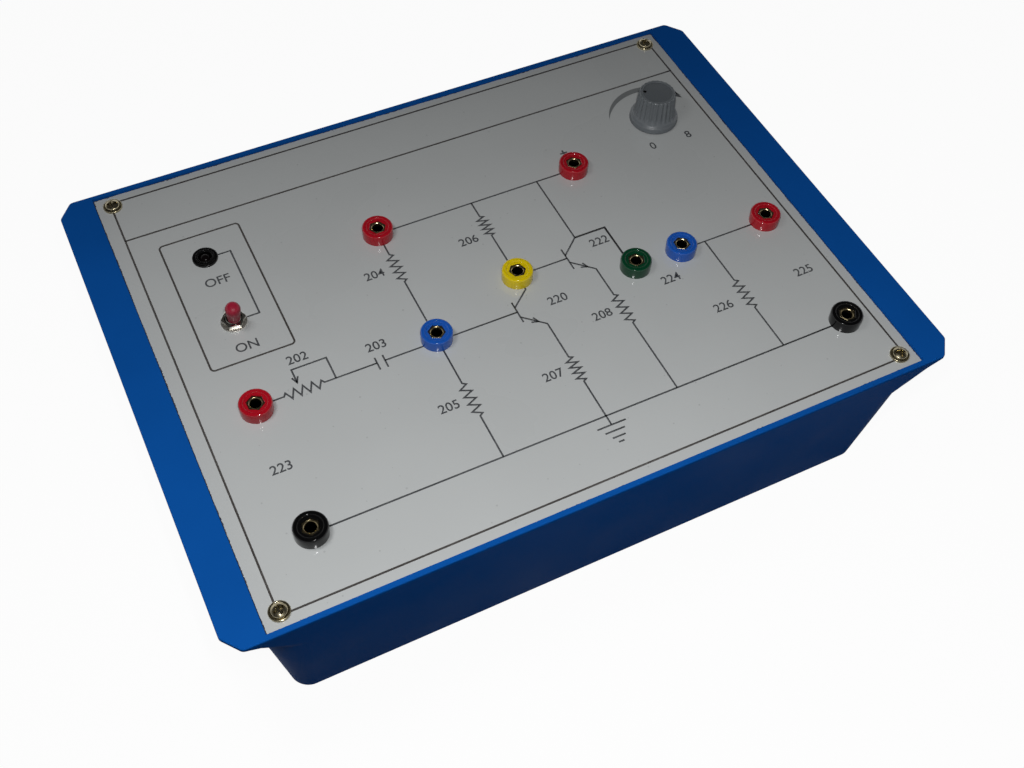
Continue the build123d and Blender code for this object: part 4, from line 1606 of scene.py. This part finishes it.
@dataclass
class PanelPrint:
    """Everything printed on the panel, as thin raised ink."""

    sink: float = 0.03
    rise: float = 0.045
    line: float = 0.66
    border: float = 0.74
    heavy: float = 0.84
    zigzag_width: float = 3.9
    zigzag_peaks: int = 9
    zigzag_end_share: float = 0.66
    box_corner: float = 1.5
    box_corner_steps: int = 6
    barb_length: float = 2.8
    barb_spread: float = 24.0
    crescent_x: float = 101.0
    crescent_y: float = 52.6
    crescent_outer: float = 19.3
    crescent_inner: float = 21.4
    crescent_shift: float = 4.7
    pointer: tuple[Point, ...] = ((118.4, 58.6), (117.7, 63.4), (114.6, 61.4))
    crescent_from: float = 23.0
    crescent_to: float = 160.0
    crescent_steps: int = 60
    crescent_gap: float = 0.02
    cap_share: float = 0.69
    boldness: float = 0.014
    letter_smoothness: int = 6

    def wavy(self, start: Point, end: Point) -> list[Point]:
        """A resistor's zigzag between two points of a straight wire.

        Args:
            start: Where it begins.
            end: Where it ends.

        Returns:
            Its points.
        """
        first, last = Vector(start), Vector(end)
        along = last - first
        side = Vector((-along.y, along.x)).normalized() * self.zigzag_width / 2
        points = [tuple(first)]
        for peak in range(self.zigzag_peaks):
            sign = 1 if peak % 2 == 0 else -1
            reach = self.zigzag_end_share if peak in (0, self.zigzag_peaks - 1) else 1.0
            points.append(tuple(first + along * (peak + 0.5) / self.zigzag_peaks + side * sign * reach))
        return [*points, tuple(last)]

    def arrow(self, tip: Point, angle: float) -> list[Point]:
        """An open arrow head.

        Args:
            tip: Its tip.
            angle: The direction it points, in degrees from +X.

        Returns:
            Its three points.
        """
        barbs = [math.radians(angle + 180 + turn) for turn in (-self.barb_spread, self.barb_spread)]
        ends = [(tip[0] + self.barb_length * math.cos(a), tip[1] + self.barb_length * math.sin(a))
                for a in barbs]
        return [ends[0], tip, ends[1]]

    def round_box(self, low: Point, high: Point) -> list[Point]:
        """The outline of a box with rounded corners.

        Args:
            low: Its front left corner.
            high: Its back right corner.

        Returns:
            Its points.
        """
        points = []
        corners = (high, (low[0], high[1]), low, (high[0], low[1]))
        for quarter, (x, y) in enumerate(corners):
            inward = (-1 if x == high[0] else 1, -1 if y == high[1] else 1)
            centre = (x + inward[0] * self.box_corner, y + inward[1] * self.box_corner)
            for step in range(self.box_corner_steps + 1):
                angle = math.radians(90 * (quarter + step / self.box_corner_steps))
                points.append((centre[0] + self.box_corner * math.cos(angle),
                               centre[1] + self.box_corner * math.sin(angle)))
        return points

    def border_strokes(self) -> list[Stroke]:
        """The border, the line under the heading and the mains box.

        Returns:
            The strokes.
        """
        return [
            Stroke([(-121.3, -96.5), (122.6, -96.5), (122.6, 97.2), (-121.3, 97.2)], True),
            Stroke([(-121.3, 75.7), (122.6, 75.7)]),
            Stroke(self.round_box((-110.7, 2.6), (-79.1, 67.4)), True),
        ]

    def circuit_strokes(self) -> list[Stroke]:
        """The circuit's wires and signs.

        Returns:
            The strokes.
        """
        rail, ground = 39.3, -73.3
        column, base, tail = -31.6, 8.7, 38.0
        routes = [
            [(-91.4, 54.7), (-86.3, 54.7), (-86.3, 21.3), (-91.3, 21.3)],
            [(column, rail), (54.7, rail)],
            [(column, rail), *self.wavy((column, 27.6), (column, 12.8)), (column, -17.0)],
            [(column, -17.0), *self.wavy((column, -39.3), (column, -54.6)), (column, ground)],
            [(base, rail), *self.wavy((base, 31.3), (base, 20.4)), (base, -3.0)],
            [(base, -3.0), (base, -9.6), (0.9, -16.1)],
            [(0.9, -20.9), (base, -27.8), *self.wavy((base, -44.8), (base, -56.7)), (base, -77.4)],
            [(0.9, -13.3), (0.9, -23.5)],
            [(tail, rail), (tail, 5.9), (30.2, -0.9)],
            [(30.2, 2.6), (30.2, -8.3)],
            [(base, -2.4), (30.2, -2.4)],
            [(30.2, -4.6), (tail, -11.7), *self.wavy((tail, -25.9), (tail, -40.7)), (tail, ground)],
            [(78.0, -17.0), (105.6, -17.0)],
            [(83.9, -17.0), *self.wavy((83.9, -38.9), (83.9, -53.5)), (83.9, ground)],
            [(-101.6, ground), (111.4, ground)],
            [(-96.0, -18.3), *self.wavy((-91.1, -18.3), (-75.9, -18.3)), (-55.7, -18.3)],
            [(-71.5, -18.3), (-71.5, -8.3), (-84.8, -8.3), (-84.8, -14.6)],
            [(-55.7, -15.7), (-55.7, -21.5)],
            [(-52.6, -15.7), (-52.6, -21.5)],
            [(-52.6, -18.3), (0.9, -18.3)],
            self.arrow((-84.8, -14.4), -90),
            self.arrow((6.2, -25.6), -41),
            self.arrow((35.6, -9.5), -42),
            [(3.0, -77.4), (14.4, -77.4)],
            [(4.8, -80.0), (12.6, -80.0)],
            [(6.3, -82.6), (11.5, -82.6)],
            [(7.6, -84.8), (9.8, -84.8)],
        ]
        return [Stroke(route) for route in routes]

    def lead_strokes(self) -> list[Stroke]:
        """The darker lead from the second collector to its socket."""
        return [Stroke([(38.0, 5.9), (51.3, 5.9), (51.3, -10.0)])]

    def labels(self) -> list[Label]:
        """The plain words and figures beside the parts.

        Returns:
            The labels.
        """
        return [
            Label("ON", -95.4, 8.7, 3.9),
            Label("OFF", -95.5, 42.4, 3.9),
            Label("202", -81.1, -4.1),
            Label("203", -53.0, -10.7),
            Label("204", -40.7, 20.7),
            Label("205", -40.0, -46.5),
            Label("206", -0.65, 21.7),
            Label("207", -0.2, -49.6),
            Label("208", 29.4, -32.4),
            Label("226", 73.3, -48.0),
            Label("220", 17.6, -18.7),
            Label("222", 45.9, 0.5),
            Label("223", -102.0, -45.4),
            Label("224", 62.0, -27.8),
            Label("225", 111.3, -45.7),
            Label("+", 55.7, 49.3, 4.6),
            Label("0", 92.0, 38.0),
            Label("8", 109.0, 38.0),
        ]

    def walls(self, strokes: list[Stroke]) -> Form:
        """Draws strokes as thin sheets standing in the panel's face.

        Args:
            strokes: The strokes.

        Returns:
            The sheets.
        """
        form = Form()
        for stroke in strokes:
            spots = [form.bm.verts.new((x, y, -self.sink)) for x, y in stroke.points]
            edges = [form.bm.edges.new(pair) for pair in zip(spots, spots[1:])]
            if stroke.closed:
                edges.append(form.bm.edges.new((spots[-1], spots[0])))
            form.raise_up(bmesh.ops.extrude_edge_only(form.bm, edges=edges), self.sink + self.rise)
        return form

    def patch(self, form: Form) -> Form:
        """Gives a flat shape the ink's thickness and lays it on the panel.

        Args:
            form: The flat shape, as far under the face as the ink reaches.

        Returns:
            The shape.
        """
        made = bmesh.ops.extrude_face_region(form.bm, geom=form.bm.faces[:])
        form.raise_up(made, self.sink + self.rise)
        form.close()
        form.place(on_panel(0, 0))
        return form

    def ink(self, name: str, strokes: list[Stroke], width: float, finish: bpy.types.Material) -> None:
        """Prints strokes of one width.

        Args:
            name: The piece's name.
            strokes: The strokes.
            width: The lines' width.
            finish: The ink.
        """
        form = self.walls(strokes)
        form.place(on_panel(0, 0))
        piece = form.piece(name, finish, "panel_laminate")
        spread = piece.modifiers.new("width", "SOLIDIFY")
        spread.thickness = width * MM
        spread.offset = 0.0
        spread.use_even_offset = True

    def letters(self, label: Label) -> bpy.types.Mesh:
        """Makes a label's mesh, centred on the origin, in millimetres.

        Args:
            label: The label.

        Returns:
            The mesh.
        """
        text = bpy.data.curves.new("label", "FONT")
        text.body = label.words
        text.size = label.cap / self.cap_share
        text.offset = self.boldness * label.cap
        text.extrude = (self.sink + self.rise) / 2
        text.resolution_u = self.letter_smoothness
        text.align_x = "CENTER"
        holder = bpy.data.objects.new("label", text)
        bpy.context.scene.collection.objects.link(holder)
        found = holder.evaluated_get(bpy.context.evaluated_depsgraph_get())
        mesh = bpy.data.meshes.new_from_object(found)
        bpy.data.objects.remove(holder)
        mesh.transform(Matrix.Translation((0, -label.cap / 2, (self.rise - self.sink) / 2)))
        return mesh

    def crescent(self) -> Form:
        """The grey crescent round the knob, thick in its middle and pointed at its ends.

        Returns:
            The form.
        """
        form = Form()
        bmesh.ops.create_grid(form.bm, x_segments=self.crescent_steps, y_segments=1, size=1.0)
        centre = Vector((self.crescent_x, self.crescent_y))
        inner = Vector((0, -self.crescent_shift))
        for vert in form.bm.verts:
            share = (vert.co.x + 1) / 2
            angle = math.radians(self.crescent_from + share * (self.crescent_to - self.crescent_from))
            way = Vector((math.cos(angle), math.sin(angle)))
            reach = self.crescent_outer
            if vert.co.y < 0:
                along = inner.dot(way)
                reach = along + math.sqrt(self.crescent_inner ** 2 - inner.length_squared + along ** 2)
                reach = min(reach, self.crescent_outer - self.crescent_gap)
            vert.co.xy = centre + way * reach
            vert.co.z = -self.sink
        return self.patch(form)

    def pointer_shape(self) -> Form:
        """The small solid pointer by the crescent.

        Returns:
            The form.
        """
        form = Form()
        form.bm.faces.new([form.bm.verts.new((x, y, -self.sink)) for x, y in self.pointer])
        return self.patch(form)

    def build(self, finishes: dict[str, bpy.types.Material]) -> None:
        """Prints everything.

        Args:
            finishes: The inks by name.
        """
        self.ink("printed_border", self.border_strokes(), self.border, finishes["border_ink"])
        self.ink("printed_circuit", self.circuit_strokes(), self.line, finishes["line_ink"])
        self.ink("printed_lead", self.lead_strokes(), self.heavy, finishes["dark_ink"])
        words = Form()
        for label in self.labels():
            words.add(self.letters(label), on_panel(label.x, label.y))
        words.piece("printed_labels", finishes["line_ink"], "panel_laminate")
        self.crescent().piece("printed_crescent", finishes["grey_ink"], "panel_laminate")
        self.pointer_shape().piece("printed_pointer", finishes["line_ink"], "panel_laminate")


NODE_FINISHES = {
    "housing": "housing_blue",
    "front_panel": "panel_sheet",
    "rubber_feet": "rubber",
    "foot_screws": "nickel",
    "board_screws": "nickel",
    "transformer_screws": "nickel",
    "panel_screws": "screw_nickel",
    "socket_contacts": "nickel",
    "socket_nuts": "nickel",
    "solder_tags": "tinned",
    "indicator_holder": "black_plastic",
    "indicator_lamp": "lamp_lens",
    "indicator_clip": "black_plastic",
    "switch_body": "switch_case",
    "switch_bushing": "chrome",
    "switch_nut": "nickel",
    "switch_back_nut": "nickel",
    "switch_washer": "nickel",
    "switch_terminals": "tinned",
    "switch_lever": "chrome",
    "switch_sleeve": "red_sleeve",
    "control_case": "case_steel",
    "control_bushing": "brass",
    "control_nut": "nickel",
    "control_washer": "nickel",
    "control_lugs": "tinned",
    "control_shaft": "aluminium",
    "control_knob": "knob_grey",
    "circuit_board": "board_green",
    "reservoir_capacitor": "can_sleeve",
    "coupling_capacitor": "can_sleeve",
    "resistors": "resistor_body",
    "rectifier_diodes": "black_plastic",
    "transistors": "black_plastic",
    "voltage_regulator": "black_plastic",
    "transformer_core": "core_steel",
    "transformer_coil": "coil_tape",
    "transformer_clamp": "case_steel",
    "cord_grommet": "rubber",
    **{node: f"socket_{colour}" for node, colour in SOCKET_COLOURS.items()},
}


def dress_nodes(finishes: dict[str, bpy.types.Material]) -> None:
    """Gives every CAD node its finish.

    Args:
        finishes: The materials by name.
    """
    for node, name in NODE_FINISHES.items():
        mesh = frame["nodes"][node].data
        mesh.materials.clear()
        mesh.materials.append(finishes[name])
    log.info("dressed %d nodes of the frame", len(NODE_FINISHES))


def make_finishes() -> dict[str, bpy.types.Material]:
    """Builds every finish of the object.

    Returns:
        The materials by name.
    """
    corner = panel_corner * MM
    row = middle_of("resistors").x * MM
    bands = (
        (-0.0022, screen(90, 50, 20)),
        (-0.0009, screen(20, 20, 20)),
        (0.0004, screen(190, 30, 30)),
        (0.0022, screen(180, 140, 50)),
    )
    finishes = [
        Moulded("housing_blue", screen(14, 84, 166), 0.5, 0.08, drift=0.9, fine=900.0, broad=22.0,
                depth=0.00002, gloss=0.004),
        PanelSheet("panel_sheet", screen(193, 196, 196), screen(66, 68, 76), corner.x, corner.y),
        Moulded("rubber", screen(34, 34, 35), 0.7, gloss=0.3, depth=0.00003),
        Metal("nickel", screen(206, 202, 192), 0.24),
        Metal("bright_nickel", screen(222, 218, 208), 0.1, dullness=0.85),
        # Painted light: the toggle's washer gets a lighter, rougher copy of nickel so that it reads as
        # lit.
        Metal("painted_light_nickel", screen(224, 222, 216), 0.4, dullness=0.85),
        # Partly painted shade: the socket bushes get a darker copy of nickel for the dim room they
        # reflect, with a bronze tone of their own.
        Metal("painted_shade_nickel", screen(172, 158, 122), 0.24, dullness=0.6),
        # Painted shade: the toggle's bushing gets a darker copy of chrome, standing in for the dim room
        # that it reflects.
        Metal("painted_shade_chrome", screen(120, 118, 112), 0.2),
        Metal("screw_nickel", screen(190, 180, 150), 0.24, dullness=0.6),
        Metal("tinned", screen(200, 202, 204), 0.35),
        Metal("chrome", screen(225, 226, 228), 0.1, dullness=0.85),
        Metal("case_steel", screen(186, 186, 186), 0.38),
        Metal("brass", screen(214, 190, 120), 0.28),
        Metal("aluminium", screen(206, 207, 210), 0.32),
        Metal("core_steel", screen(110, 108, 104), 0.5, marks=2000.0),
        Moulded("black_plastic", screen(9, 9, 10), 0.24, gloss=0.35),
        Moulded("lamp_lens", screen(12, 8, 9), 0.2, 0.03, gloss=0.14),
        Moulded("switch_case", screen(150, 26, 28), 0.4),
        Moulded("red_sleeve", screen(156, 28, 52), 0.42, gloss=0.35, depth=0.00002),
        Moulded("knob_grey", screen(106, 111, 115), 0.36, gloss=0.4, depth=0.00002),
        # Painted shade: the cap insert is a darker copy of the knob's grey, in place of the sheen that
        # lights the grip.
        Moulded("painted_shade_cap_grey", screen(94, 99, 103), 0.42, gloss=0.35, depth=0.00002),
        Moulded("board_green", screen(28, 104, 62), 0.35),
        Moulded("can_sleeve", screen(30, 40, 92), 0.25),
        Moulded("coil_tape", screen(226, 190, 92), 0.45, fine=700.0),
        Banded("resistor_body", screen(206, 178, 132), bands, row),
        *(Moulded(f"socket_{name}", colour, 0.1, 0.02, depth=0.000003, gloss=gloss)
          for name, colour, gloss in SOCKET_SHADES),
        Ink("line_ink", screen(70, 72, 75), screen(92, 94, 96)),
        Ink("border_ink", screen(66, 62, 60), screen(90, 88, 86)),
        Ink("dark_ink", screen(30, 30, 32), screen(52, 52, 52)),
        Ink("grey_ink", screen(116, 119, 120), screen(124, 127, 128)),
    ]
    return {finish.name: finish.material() for finish in finishes}


def main() -> None:
    """Builds the sub-assemblies in order and reports each piece."""
    logging.basicConfig(level=logging.INFO, format="%(name)s %(message)s")
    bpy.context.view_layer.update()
    Studio().build()
    finishes = make_finishes()
    dress_nodes(finishes)
    colours = {name: finishes[f"socket_{name}"] for name, _, _ in SOCKET_SHADES}
    Sockets().build(colours, finishes["painted_shade_nickel"])
    PanelScrews().build(finishes["screw_nickel"])
    Indicator().build(finishes["black_plastic"])
    Toggle().build(finishes["painted_shade_chrome"], finishes["bright_nickel"], finishes["painted_light_nickel"],
                   finishes["red_sleeve"])
    Knob().build(finishes["knob_grey"], finishes["painted_shade_cap_grey"], finishes["black_plastic"])
    PanelPrint().build(finishes)


if __name__ == "__main__":
    main()
